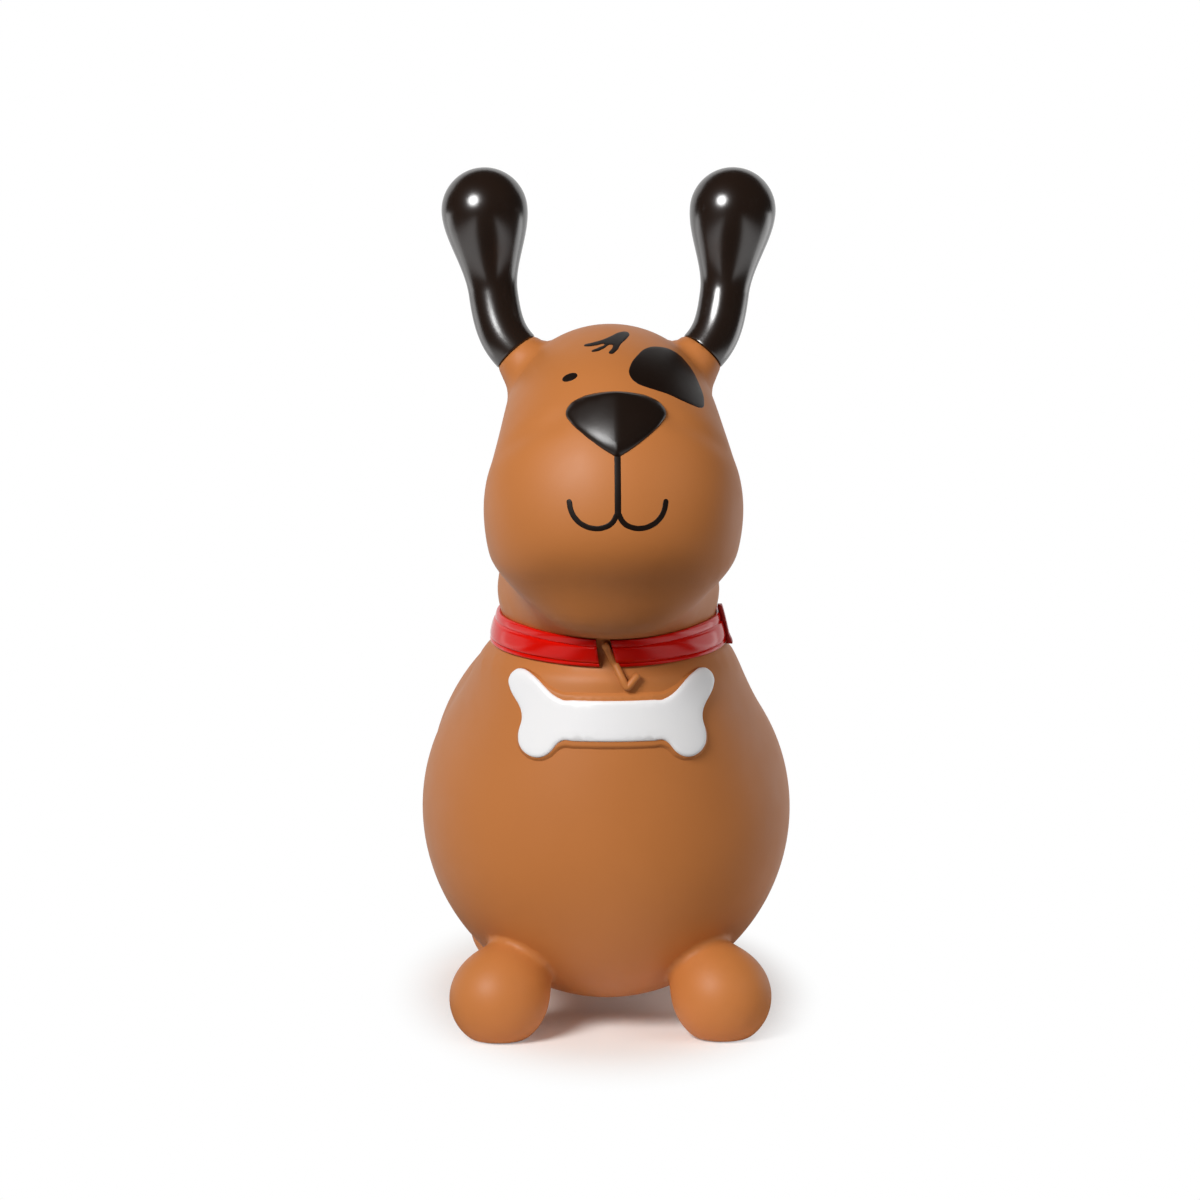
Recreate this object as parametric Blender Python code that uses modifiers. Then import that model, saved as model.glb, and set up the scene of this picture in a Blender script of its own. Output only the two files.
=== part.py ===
"""Inflatable animal hopper in the shape of a dog: a hollow skin with ear handles, a nose, a collar with
a bone tag, and an air valve with a plug that pulls out.

Metres, +Z up. The toy faces -Y, stands on its four soles at z = 0 and is symmetric about x = 0.
"""
import math

import bmesh
import bpy
from mathutils import Matrix, Quaternion, Vector
from mathutils.bvhtree import BVHTree

# Skin
WALL = 0.003                    # moulded wall of the skin and of the ears
GAP = 0.0003                    # clearance between pieces that touch
LOOSE_GAP = 0.0006              # the same under the collar and its ring, which lie on the skin in steps
SKIN_GRID = 0.008               # cell of the grid that the rounded masses are meshed on
SKIN_FACES = 2400               # triangles kept for each side of the skin
SKIN_LEVEL = 0.6                # field level of the masses' common surface
OVERRUN = 0.012                 # how far a cutter runs on past what it cuts
WELD = 0.00002                  # points closer than this become one

# Torso: rounded masses one behind the other, each held clear of the floor
CHEST_WIDTH = 0.2195
CHEST_LENGTH = 0.210
CHEST_HEIGHT = 0.2296
CHEST_CLEARANCE = 0.0157
CHEST_Y = -0.0432
BELLY_WIDTH = 0.2177            # mass between the chest and the rump, under the saddle
BELLY_LENGTH = 0.240
BELLY_HEIGHT = 0.206
BELLY_CLEARANCE = 0.034
BELLY_Y = 0.022
RUMP_WIDTH = 0.200
RUMP_LENGTH = 0.250
RUMP_HEIGHT = 0.222
RUMP_CLEARANCE = 0.027
RUMP_Y = 0.092

# Neck and head
NECK_WIDTH = 0.1597
NECK_LENGTH = 0.172
NECK_HEIGHT = 0.2776
NECK_SINK = 0.0351              # from the top of the chest down to the neck's middle
NECK_Y = -0.060
CROWN_WIDTH = 0.1283
CROWN_LENGTH = 0.150
CROWN_HEIGHT = 0.1189
CROWN_REACH = 0.035             # how far the crown's middle lies in front of the neck's
MUZZLE_WIDTH = 0.1562
MUZZLE_LENGTH = 0.140
MUZZLE_HEIGHT = 0.1632
MUZZLE_DROP = 0.0488            # from the crown's middle down to the muzzle's
CHIN_SINK = 0.0006              # how far the muzzle reaches down past the collar's middle
MUZZLE_REACH = 0.055            # how far the muzzle's middle lies in front of the crown's

# Feet and tail
FOOT_DIAMETER = 0.0612
FOOT_CUT = 0.0049               # how much of each foot's ball the flat sole takes away
FRONT_TRACK = 0.1393            # between the middles of the two front feet
FRONT_FOOT_Y = -0.103
REAR_TRACK = 0.112
REAR_FOOT_Y = 0.125
TAIL_DIAMETER = 0.044
TAIL_LENGTH = 0.080             # half of it stands out of the rump
TAIL_RAISE = 38.0               # degrees above level

# Ears
EAR_ROOT_X = 0.0202             # the ear's axis leaves the crown's middle this far to the side
EAR_LEAN = 43.0                 # degrees from upright, at the root
EAR_SWEEP = 18.0                # degrees that the lean is turned backwards
STUB_LENGTH = 0.009             # brown stub between the crown and the ear, along its axis
STUB_ROOT = 0.030               # how far the stub is carried down from its end
STUB_TAPER = 0.0096             # how much wider its radius is down there
EAR_BASE = 0.0298               # diameters
EAR_GRIP = 0.0304
EAR_BULB = 0.053
EAR_FLARE = 0.038               # length over which the grip swells into the bulb
EAR_RISE = 0.0862               # from the stub's end to the bulb's middle
EAR_SPREAD = 0.0192
EAR_SETBACK = 0.013
EAR_STRAIGHT = 0.003            # straight start of the ear, square to the stub
EAR_LEAD = 0.019                # how far the ear's bend is led on from there
EAR_STAND = 0.053               # how far down the bend is led from the bulb
EAR_STAND_IN = 0.0055           # and how far inwards
EAR_CLOSE = 84.0                # degrees of the bulb's rounded end, before it is closed flat
SPIGOT_DIAMETER = 0.024         # end of the ear that plugs into the stub
SPIGOT_LENGTH = 0.012

# Nose, as seen from the front
NOSE_WIDTH = 0.0594
NOSE_TOP = 0.0146               # above the corners
NOSE_TIP = 0.0229               # below the corners
NOSE_RISE = 0.0597              # from the muzzle's middle up to the corners
NOSE_BROW = 0.0164              # how far the rounded top is led to each side
NOSE_TEMPLE = 0.0081            # how far the corners are led upwards
NOSE_CHEEK = 0.0046             # how far the corners are led downwards
NOSE_POINT = 0.0036             # how far the rounded tip is led to each side
NOSE_PROUD = 0.006
NOSE_EDGE = 0.007               # width of the rounded rim

# Collar
COLLAR_RISE = 0.0055            # from the top of the back up to the collar's middle
COLLAR_TILT = 4.5               # degrees, the front hangs lower
COLLAR_HEIGHT = 0.0190
COLLAR_THICKNESS = 0.0045
COLLAR_BEAD = 0.0012            # how far the rounded band stands over the lip and the hem
COLLAR_LIP = 0.0052             # height of the thin lip over the band
COLLAR_HEM = 0.0027             # height of the hem under it
COLLAR_ROUND = 0.0006           # cut from the strap's edges
COLLAR_PINCH = 0.0070           # how far it pulls the neck in
PINCH_REACH = 0.014             # height above and below the collar over which the neck swells out again
PINCH_FADE = 0.020              # how far outside the neck the pinch has faded out
SEAT_WALL = 0.0006              # least wall behind the collar
COLLAR_OPENING = 0.0165         # gap at the front, where the tag's ring passes
KEEPER_WIDTH = 0.008
KEEPER_THICKNESS = 0.0012
KEEPER_TURN = 86.0              # degrees from the front, towards +X

# Bone tag, as seen from the front
BONE_DROP = 0.0484              # from the collar's middle down to the bone's
BONE_LENGTH = 0.1228
BONE_BAR = 0.0246
BONE_SHOULDER = 0.060           # between the corners at the ends of the bar
BONE_BEND = 0.006               # from each corner to where the bar is straight
BONE_EAR_RADIUS = 0.0078        # upper knobs
BONE_EAR_RISE = 0.0200
BONE_EAR_ARC = (125, -15)       # degrees of the knob's circle that the outline follows
BONE_KNOB_RADIUS = 0.0104       # lower knobs
BONE_KNOB_SPAN = 0.0916
BONE_KNOB_DROP = 0.0132
BONE_KNOB_ARC = (5, -125)
BONE_WAIST = 0.1078             # across the hollows between the knobs
BONE_WAIST_RISE = 0.0020
BONE_PROUD = 0.0015
PLATE_MARGIN = 0.0050           # raised plate of the skin round the bone
PLATE_PROUD = 0.0020
PAD_SEAT = 0.0010               # how deep the nose, the bone and the collar are let into the skin
PAD_GRID = 0.0110               # cell of the pads' meshes
RING_ROD = 0.0046               # diameter of the tag ring's rod
RING_TIP_X = 0.0082             # the ring's point, beside the middle
RING_SPREAD = 0.0147            # from the point sideways to the long arm's top
RING_HOOK = 0.0073              # from the point sideways to the short arm's end

# Valve, at the middle of the rump
VALVE_FLANGE = 0.024
VALVE_FLANGE_THICKNESS = 0.0014
VALVE_EDGE = 0.0006             # cut from the flange's rim
VALVE_NECK = 0.0150
VALVE_NECK_LENGTH = 0.010
VALVE_BORE = 0.0090
PLUG_HEAD = 0.0170
PLUG_HEAD_THICKNESS = 0.0022
PLUG_EDGE = 0.0010              # cut from the head's rim
PLUG_SHANK_LENGTH = 0.0120
PLUG_BEAD = 0.0005              # how far the bead stands over the shank
PLUG_POINT = 0.0024             # length of the tapered end

# Places that follow from the sizes
CHEST_Z = CHEST_CLEARANCE + CHEST_HEIGHT / 2
BELLY_Z = BELLY_CLEARANCE + BELLY_HEIGHT / 2
RUMP_Z = RUMP_CLEARANCE + RUMP_HEIGHT / 2
BACK_Z = max(CHEST_Z + CHEST_HEIGHT / 2, BELLY_Z + BELLY_HEIGHT / 2, RUMP_Z + RUMP_HEIGHT / 2)
NECK_Z = CHEST_Z + CHEST_HEIGHT / 2 - NECK_SINK
CROWN_Y = NECK_Y - CROWN_REACH
MUZZLE_Y = CROWN_Y - MUZZLE_REACH
COLLAR_Z = BACK_Z + COLLAR_RISE
MUZZLE_Z = COLLAR_Z - CHIN_SINK + MUZZLE_HEIGHT / 2
CROWN_Z = MUZZLE_Z + MUZZLE_DROP
NOSE_Z = MUZZLE_Z + NOSE_RISE
BONE_Z = COLLAR_Z - BONE_DROP

FRONT = Vector((0, -1, 0))
UP = Vector((0, 0, 1))


def new_collection(name):
    collection = bpy.data.collections.new(name)
    bpy.context.scene.collection.children.link(collection)
    return collection


def new_object(name, mesh, collection, matrix=Matrix()):
    made = bpy.data.objects.new(name, mesh)
    made.matrix_world = matrix
    collection.objects.link(made)
    if collection is CUTTERS:
        made.hide_render = True
        made.display_type = 'WIRE'
    return made


def frozen(made, name, collection):
    """Turn an object, a curve too, into a plain mesh object in world coordinates."""
    bpy.context.view_layer.update()
    graph = bpy.context.evaluated_depsgraph_get()
    mesh = bpy.data.meshes.new_from_object(made.evaluated_get(graph))
    mesh.transform(made.matrix_world)
    bpy.data.objects.remove(made)
    work = bmesh.new()
    work.from_mesh(mesh)
    bmesh.ops.remove_doubles(work, verts=work.verts, dist=1e-6)
    bmesh.ops.recalc_face_normals(work, faces=work.faces)
    work.to_mesh(mesh)
    work.free()
    return new_object(name, mesh, collection)


def boolean(body, other, operation):
    """Join another solid to a body, cut it away or keep what they share.

    The result is cut into triangles. Points that nearly meet are welded, unless that would leave it open.
    """
    step = body.modifiers.new(operation, 'BOOLEAN')
    step.operation = operation
    step.object = other
    bpy.context.view_layer.update()
    mesh = bpy.data.meshes.new_from_object(body.evaluated_get(bpy.context.evaluated_depsgraph_get()))
    body.modifiers.clear()
    fine = WELD / 10
    for weld, method in ((WELD, 'BEAUTY'), (WELD, 'EAR_CLIP'), (fine, 'BEAUTY'), (fine, 'EAR_CLIP')):
        work = bmesh.new()
        work.from_mesh(mesh)
        bmesh.ops.remove_doubles(work, verts=work.verts, dist=weld)
        bmesh.ops.dissolve_degenerate(work, edges=work.edges, dist=weld)
        bmesh.ops.triangulate(work, faces=work.faces, ngon_method=method)
        if all(edge.is_manifold for edge in work.edges):
            break
    work.to_mesh(mesh)
    work.free()
    body.data = mesh


def decimate(made, faces):
    """Keep about this many triangles, alike on both sides of x = 0."""
    made.data.calc_loop_triangles()
    step = made.modifiers.new("fewer faces", 'DECIMATE')
    step.ratio = min(1.0, faces / len(made.data.loop_triangles))
    step.use_symmetry = True
    step.symmetry_axis = 'X'


def flat_base(made, height):
    """Cut a closed mesh level at this height, drop what is below and close the cuts."""
    work = bmesh.new()
    work.from_mesh(made.data)
    parts = work.verts[:] + work.edges[:] + work.faces[:]
    bmesh.ops.bisect_plane(work, geom=parts, plane_co=UP * height, plane_no=UP, clear_inner=True)
    bmesh.ops.holes_fill(work, edges=[edge for edge in work.edges if edge.is_boundary])
    bmesh.ops.triangulate(work, faces=[face for face in work.faces if len(face.verts) > 4])
    bmesh.ops.recalc_face_normals(work, faces=work.faces)
    work.to_mesh(made.data)
    work.free()


def turned(name, profile, collection, matrix, segments=28):
    """Turn a profile of (radius, height) points, top to bottom on its outer side, about local Z."""
    mesh = bpy.data.meshes.new(name)
    points = [(radius, 0, height) for radius, height in profile]
    count = len(points)
    closed = all(radius > 0 for radius, _ in profile)
    edges = [(i, (i + 1) % count) for i in range(count if closed else count - 1)]
    mesh.from_pydata(points, edges, [])
    made = new_object(name, mesh, collection, matrix)
    screw = made.modifiers.new("turn", 'SCREW')
    screw.steps = screw.render_steps = segments
    screw.use_merge_vertices = True
    screw.merge_threshold = 1e-5
    return frozen(made, name, collection)


def tail_middle():
    """Middle of the tail's mass, on the rump's surface."""
    raised = math.radians(TAIL_RAISE)
    return (0, RUMP_Y + RUMP_LENGTH / 2 * math.cos(raised), RUMP_Z + RUMP_HEIGHT / 2 * math.sin(raised))


def skin_masses():
    """The rounded masses of the skin: middle, full size, stiffness of the blend and tilt in degrees."""
    foot = (FOOT_DIAMETER,) * 3
    foot_z = FOOT_DIAMETER / 2 - FOOT_CUT
    masses = [
        ((0, CHEST_Y, CHEST_Z), (CHEST_WIDTH, CHEST_LENGTH, CHEST_HEIGHT), 6, 0),
        ((0, BELLY_Y, BELLY_Z), (BELLY_WIDTH, BELLY_LENGTH, BELLY_HEIGHT), 3, 0),
        ((0, RUMP_Y, RUMP_Z), (RUMP_WIDTH, RUMP_LENGTH, RUMP_HEIGHT), 5, 0),
        ((0, NECK_Y, NECK_Z), (NECK_WIDTH, NECK_LENGTH, NECK_HEIGHT), 6, 0),
        ((0, CROWN_Y, CROWN_Z), (CROWN_WIDTH, CROWN_LENGTH, CROWN_HEIGHT), 4, 0),
        ((0, MUZZLE_Y, MUZZLE_Z), (MUZZLE_WIDTH, MUZZLE_LENGTH, MUZZLE_HEIGHT), 4, 0),
        (tail_middle(), (TAIL_DIAMETER, TAIL_LENGTH, TAIL_DIAMETER), 6, TAIL_RAISE),
    ]
    for side in (-1, 1):
        masses.append(((side * FRONT_TRACK / 2, FRONT_FOOT_Y, foot_z), foot, 8, 0))
        masses.append(((side * REAR_TRACK / 2, REAR_FOOT_Y, foot_z), foot, 8, 0))
    return masses


def blended(name, masses):
    """Mesh the common surface of rounded masses, mirrored so that both sides are alike."""
    ball = bpy.data.metaballs.new(name)
    ball.threshold = SKIN_LEVEL
    ball.resolution = ball.render_resolution = SKIN_GRID
    for middle, size, stiffness, tilt in masses:
        reach = 1 / math.sqrt(1 - (SKIN_LEVEL / stiffness) ** (1 / 3))
        element = ball.elements.new(type='ELLIPSOID')
        element.co = middle
        element.radius = 1
        element.stiffness = stiffness
        element.rotation = Quaternion((1, 0, 0), math.radians(tilt))
        element.size_x, element.size_y, element.size_z = [reach * extent / 2 for extent in size]
    whole = frozen(new_object(name, ball, PARTS), name, PARTS)
    mirror = whole.modifiers.new("both sides", 'MIRROR')
    mirror.use_bisect_axis[0] = True
    mirror.merge_threshold = 1e-4
    return frozen(whole, name, PARTS)


def surface_of(made):
    """A ray-cast tree of an object's evaluated mesh."""
    bpy.context.view_layer.update()
    return BVHTree.FromObject(made, bpy.context.evaluated_depsgraph_get())


def reach_of(tree, start, way):
    """Distance from a point inside the skin to its surface."""
    return tree.ray_cast(start, way)[3]


def collar_frame(tree):
    """Frame of the collar's plane in the middle of the neck, and the neck's two half sizes there."""
    turn = Matrix.Rotation(math.radians(COLLAR_TILT), 4, 'X')
    start = Vector((0, NECK_Y, COLLAR_Z))
    back = turn.to_3x3() @ -FRONT
    to_back = reach_of(tree, start, back)
    to_front = reach_of(tree, start, -back)
    middle = start + back * (to_back - to_front) / 2
    half_width = reach_of(tree, middle, Vector((1, 0, 0)))
    return Matrix.Translation(middle) @ turn, half_width, (to_back + to_front) / 2


def smooth_step(share):
    share = max(0.0, min(1.0, share))
    return share * share * (3 - 2 * share)


def pinch_neck(skin, collar):
    """Pull the neck in along its normals, most at the collar's plane."""
    frame, half_width, half_length = collar
    to_collar = frame.inverted()
    group = skin.vertex_groups.new(name="neck")
    for vert in skin.data.vertices:
        x, y, height = to_collar @ vert.co
        outside = half_width * (math.hypot(x / half_width, y / half_length) - 1)
        weight = math.exp(-(height / PINCH_REACH) ** 4) * (1 - smooth_step(outside / PINCH_FADE))
        group.add([vert.index], weight, 'REPLACE')
    pull = skin.modifiers.new("pinch", 'DISPLACE')
    pull.vertex_group = group.name
    pull.strength = -COLLAR_PINCH
    pull.mid_level = 0


def bare_skin():
    """The outside of the skin before anything is let into it, and the collar's frame."""
    skin = blended("body_skin", skin_masses())
    collar = collar_frame(surface_of(skin))
    pinch_neck(skin, collar)
    skin = frozen(skin, "body_skin", PARTS)
    decimate(skin, SKIN_FACES)
    skin = frozen(skin, "body_skin", PARTS)
    flat_base(skin, 0.0)
    return skin, collar


def air_chamber(skin):
    """The hollow of the skin, one wall inside it."""
    hollow = new_object("air_chamber", skin.data.copy(), CUTTERS)
    inset = hollow.modifiers.new("wall", 'DISPLACE')
    inset.strength = -WALL
    inset.mid_level = 0
    hollow = frozen(hollow, "air_chamber", CUTTERS)
    flat_base(hollow, WALL)
    return hollow


def neck_ring(name, collar, profile, tree, collection):
    """A ring laid on the neck, straight from the strap's lower rim to its upper rim and over any bulge.

    It leans by 45 degrees at most, into a chin or a back that lies in its way. The profile is a list of
    (distance out from the neck, height on the strap).
    """
    frame, radius, _ = collar
    points = [(radius + out, height) for out, height in profile]
    ring = turned(name, points, collection, frame, segments=48)
    to_collar = frame.inverted()
    shares = [step / 4 for step in range(5)]
    levels = [frame @ Vector((0, 0, COLLAR_HEIGHT * (share - 0.5))) for share in shares]
    for vert in ring.data.vertices:
        x, y, height = to_collar @ vert.co
        way = Vector((x, y, 0)).normalized()
        reaches = [reach_of(tree, level, frame.to_3x3() @ way) for level in levels]
        farthest = min(reaches) + COLLAR_HEIGHT
        reaches = [min(reach, farthest) for reach in reaches]
        lean = reaches[-1] - reaches[0]
        bulge = max(reach - reaches[0] - lean * share for reach, share in zip(reaches, shares))
        skin = reaches[0] + bulge + lean * (height / COLLAR_HEIGHT + 0.5)
        vert.co = frame @ (way * (skin + math.hypot(x, y) - radius) + Vector((0, 0, height)))
    net = bmesh.new()
    net.from_mesh(ring.data)
    bmesh.ops.triangulate(net, faces=net.faces, quad_method='FIXED')
    net.to_mesh(ring.data)
    net.free()
    return ring


def band(inner, outer, height):
    """Profile of a plain band."""
    return [(outer, height / 2), (outer, -height / 2), (inner, -height / 2), (inner, height / 2)]


def strap_room(grow):
    """Profile of the space that the strap and its keeper take up."""
    return band(-PAD_SEAT - LOOSE_GAP - grow, COLLAR_THICKNESS + KEEPER_THICKNESS + grow,
                COLLAR_HEIGHT + 2 * (GAP + grow))


def collar_profile():
    """Profile of the strap: a thin upper lip, a rounded band and a lower hem."""
    half = COLLAR_HEIGHT / 2
    inner = -PAD_SEAT
    lip = inner + COLLAR_THICKNESS - COLLAR_BEAD
    cut = lip - COLLAR_ROUND
    upper = half - COLLAR_LIP
    lower = COLLAR_HEM - half
    steps = 4
    rounds = [(lip + COLLAR_BEAD * math.sin(math.pi * step / steps), upper + (lower - upper) * step / steps)
              for step in range(steps + 1)]
    return [(cut, half), (lip, half - COLLAR_ROUND), *rounds, (lip, COLLAR_ROUND - half), (cut, -half),
            (inner, -half), (inner, half)]


def block(name, size, matrix):
    """A box cutter, centred on its frame."""
    work = bmesh.new()
    bmesh.ops.create_cube(work, size=1, matrix=matrix @ Matrix.Diagonal((*size, 1)))
    mesh = bpy.data.meshes.new(name)
    work.to_mesh(mesh)
    work.free()
    return new_object(name, mesh, CUTTERS)


def make_collar(collar, tree):
    """The strap round the neck, open at the front for the tag's ring."""
    frame, half_width, half_length = collar
    strap = neck_ring("collar_band", collar, collar_profile(), tree, PARTS)
    across = ring_arm(collar_front(collar, 0), collar_front(collar, COLLAR_HEIGHT / 2))
    opening = Matrix.Translation(FRONT * half_length + Vector((across, 0, 0)))
    boolean(strap, block("collar_opening", (COLLAR_OPENING, half_length, half_width), frame @ opening),
            'DIFFERENCE')
    return strap


def make_keeper(collar, tree):
    """The raised keeper over the strap at the toy's left side."""
    frame, half_width, half_length = collar
    face = COLLAR_THICKNESS - PAD_SEAT + LOOSE_GAP
    strip = band(face, face + KEEPER_THICKNESS, COLLAR_HEIGHT)
    keeper = neck_ring("collar_keeper", collar, strip, tree, PARTS)
    turn = Matrix.Rotation(math.radians(KEEPER_TURN), 4, 'Z')
    slot = frame @ turn @ Matrix.Translation(FRONT * half_width)
    boolean(keeper, block("keeper_length", (KEEPER_WIDTH, half_width, half_length), slot), 'INTERSECT')
    return keeper


def bezier(start, lead, trail, end, steps):
    """Points of a bend from start to end, without the end, led by two points between them."""
    points = []
    for step in range(steps):
        t = step / steps
        points.append(start * (1 - t) ** 3 + lead * 3 * t * (1 - t) ** 2 + trail * 3 * t * t * (1 - t)
                      + end * t ** 3)
    return points


def nose_outline(grow):
    """A rounded triangle, point down, as (x, z) key points."""
    top = Vector((0, NOSE_Z + NOSE_TOP + grow))
    corner = Vector((NOSE_WIDTH / 2 + grow, NOSE_Z))
    tip = Vector((0, NOSE_Z - NOSE_TIP - grow))
    side = Vector((1, 0))
    up = Vector((0, 1))
    brow = bezier(top, top + side * NOSE_BROW, corner + up * NOSE_TEMPLE, corner, 4)
    cheek = bezier(corner, corner - up * NOSE_CHEEK, tip + side * NOSE_POINT, tip, 5)
    right = brow + cheek + [tip]
    return [tuple(point) for point in right] + [(-x, z) for x, z in right[-2:0:-1]]


def arc(middle, radius, start, end, steps):
    """Points on a circle between two angles in degrees."""
    angles = [math.radians(start + (end - start) * step / steps) for step in range(steps + 1)]
    return [(middle[0] + radius * math.cos(a), middle[1] + radius * math.sin(a)) for a in angles]


def bone_outline(grow):
    """A straight bar with two knobs at each end, as (x, z) key points."""
    half_bar = BONE_BAR / 2 + grow
    ear = (BONE_LENGTH / 2 - BONE_EAR_RADIUS, BONE_EAR_RISE)
    knob = (BONE_KNOB_SPAN / 2, -BONE_KNOB_DROP)
    straight = BONE_SHOULDER / 2 - BONE_BEND
    right = [
        (straight, half_bar),
        (BONE_SHOULDER / 2, half_bar),
        *arc(ear, BONE_EAR_RADIUS + grow, *BONE_EAR_ARC, 4),
        (BONE_WAIST / 2 + grow, BONE_WAIST_RISE),
        *arc(knob, BONE_KNOB_RADIUS + grow, *BONE_KNOB_ARC, 4),
        (BONE_SHOULDER / 2, -half_bar),
        (straight, -half_bar),
    ]
    left = [(-x, z) for x, z in reversed(right)]
    return [(x, BONE_Z + z) for x, z in [*right, *left]]


def filled_outline(name, points, phase):
    """A flat face of a smooth closed outline, drawn in the XZ plane and cut into cells.

    The phase is the share of a cell by which the cells are shifted.
    """
    curve = bpy.data.curves.new(name, 'CURVE')
    curve.dimensions = '2D'
    curve.fill_mode = 'FRONT'
    curve.resolution_u = 3
    spline = curve.splines.new('BEZIER')
    spline.bezier_points.add(len(points) - 1)
    spline.use_cyclic_u = True
    for knot, (x, z) in zip(spline.bezier_points, points):
        knot.co = (x, z, 0)
        knot.handle_left_type = knot.handle_right_type = 'AUTO'
    upright = Matrix.Rotation(math.radians(90), 4, 'X')
    sheet = frozen(new_object(name, curve, CUTTERS, upright), name, CUTTERS)
    work = bmesh.new()
    work.from_mesh(sheet.data)
    bmesh.ops.dissolve_faces(work, faces=work.faces)
    for axis in (Vector((1, 0, 0)), UP):
        spans = [vert.co.dot(axis) / PAD_GRID - phase for vert in work.verts]
        for line in range(math.ceil(min(spans)), math.ceil(max(spans))):
            parts = work.verts[:] + work.edges[:] + work.faces[:]
            middle = axis * (line + phase) * PAD_GRID
            bmesh.ops.bisect_plane(work, geom=parts, plane_co=middle, plane_no=axis)
    bmesh.ops.remove_doubles(work, verts=work.verts, dist=1e-5)
    bmesh.ops.triangulate(work, faces=work.faces)
    bpy.data.objects.remove(sheet)
    return work


def rim_distance(vert, rim):
    """Distance, seen from the front, from a point to the nearest of the outline's edges."""
    point = vert.co.xz
    gaps = []
    for start, end in rim:
        along = end - start
        share = (point - start).dot(along) / along.length_squared
        gaps.append((point - start - along * max(0.0, min(1.0, share))).length)
    return min(gaps)


def dome(inside, edge):
    """Height, from 0 at the rim to 1 at the edge's width and beyond, along a quarter circle."""
    if edge == 0:
        return 1.0
    return math.sqrt(1 - max(0.0, 1 - inside / edge) ** 2)


def pad(name, outline, tree, below, above, edge, collection, phase=0.0):
    """A pad that follows the skin, from this far below it to this far above it, with a domed rim."""
    work = filled_outline(name, outline, phase)
    rim = [[vert.co.xz for vert in side.verts] for side in work.edges if side.is_boundary]
    sheet = work.verts[:] + work.edges[:] + work.faces[:]
    lifts = dict.fromkeys(work.verts, -below)
    raised = bmesh.ops.extrude_face_region(work, geom=sheet, use_keep_orig=True)["geom"]
    for vert in (part for part in raised if isinstance(part, bmesh.types.BMVert)):
        lifts[vert] = above * dome(rim_distance(vert, rim), edge)
    hits = {vert: tree.ray_cast(vert.co + FRONT, -FRONT) for vert in work.verts}
    way = sum((normal for _, normal, _, _ in hits.values()), Vector()).normalized()
    for vert, (place, _, _, _) in hits.items():
        vert.co = place + way * lifts[vert]
    bmesh.ops.recalc_face_normals(work, faces=work.faces)
    mesh = bpy.data.meshes.new(name)
    work.to_mesh(mesh)
    work.free()
    return new_object(name, mesh, collection)


def ear_axis(side):
    """Way that an ear leaves the crown."""
    lean = math.radians(EAR_LEAN)
    sweep = math.radians(EAR_SWEEP)
    flat = math.sin(lean)
    return Vector((side * flat * math.cos(sweep), flat * math.sin(sweep), math.cos(lean)))


def stub_end(side, tree):
    """Middle of the flat end of an ear's stub."""
    root = Vector((side * EAR_ROOT_X, CROWN_Y, CROWN_Z))
    return root + ear_axis(side) * (reach_of(tree, root, ear_axis(side)) + STUB_LENGTH)


def rod(name, points, radii, collection, sides):
    """A closed round rod through points, with a radius at each."""
    curve = bpy.data.curves.new(name, 'CURVE')
    curve.dimensions = '3D'
    curve.bevel_depth = 1
    curve.bevel_resolution = sides // 2 - 2
    curve.use_fill_caps = True
    spline = curve.splines.new('POLY')
    spline.points.add(len(points) - 1)
    for knot, point, radius in zip(spline.points, points, radii):
        knot.co = (*point, 1)
        knot.radius = radius
    return frozen(new_object(name, curve, collection), name, collection)


def ear_form(side, tree, inset):
    """Points and radii of an ear from its spigot to its tip, drawn in by an inset for its hollow."""
    axis = ear_axis(side)
    base = stub_end(side, tree) + axis * GAP
    bulb = base + Vector((side * EAR_SPREAD, EAR_SETBACK, EAR_RISE))
    stand = Vector((side * EAR_STAND_IN, 0, EAR_STAND))
    bend = base + axis * EAR_STRAIGHT
    path = [base] + bezier(bend, bend + axis * EAR_LEAD, bulb - stand, bulb, 15) + [bulb]
    lengths = [0.0]
    for start, end in zip(path, path[1:]):
        lengths.append(lengths[-1] + (end - start).length)
    stem_swell = (EAR_BASE - EAR_GRIP) / 2
    radii = []
    for length in lengths:
        stem = EAR_GRIP / 2 + stem_swell * math.exp(-length / EAR_GRIP)
        share = smooth_step((length - lengths[-1] + EAR_FLARE) / EAR_FLARE)
        radii.append(stem + (EAR_BULB / 2 - stem) * share - inset)
    ball = EAR_BULB / 2 - inset
    steps = 5
    for step in range(1, steps + 1):
        angle = math.radians(EAR_CLOSE) * step / steps
        path.append(bulb + UP * ball * math.sin(angle))
        radii.append(ball * math.cos(angle))
    spigot = SPIGOT_DIAMETER / 2 - inset
    overrun = OVERRUN if inset else 0.0
    shoulder = 1e-5
    foot = [base - axis * (SPIGOT_LENGTH + overrun), base - axis * shoulder]
    return foot + path, [spigot, spigot] + radii


def make_ear(side, tree, name):
    ear = rod(name, *ear_form(side, tree, 0.0), PARTS, 16)
    boolean(ear, rod(name + "_hollow", *ear_form(side, tree, WALL), CUTTERS, 12), 'DIFFERENCE')
    return ear


def along(point, axis):
    """Frame at a point whose local Z runs along an axis."""
    return Matrix.Translation(point) @ axis.to_track_quat('Z', 'Y').to_matrix().to_4x4()


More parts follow.
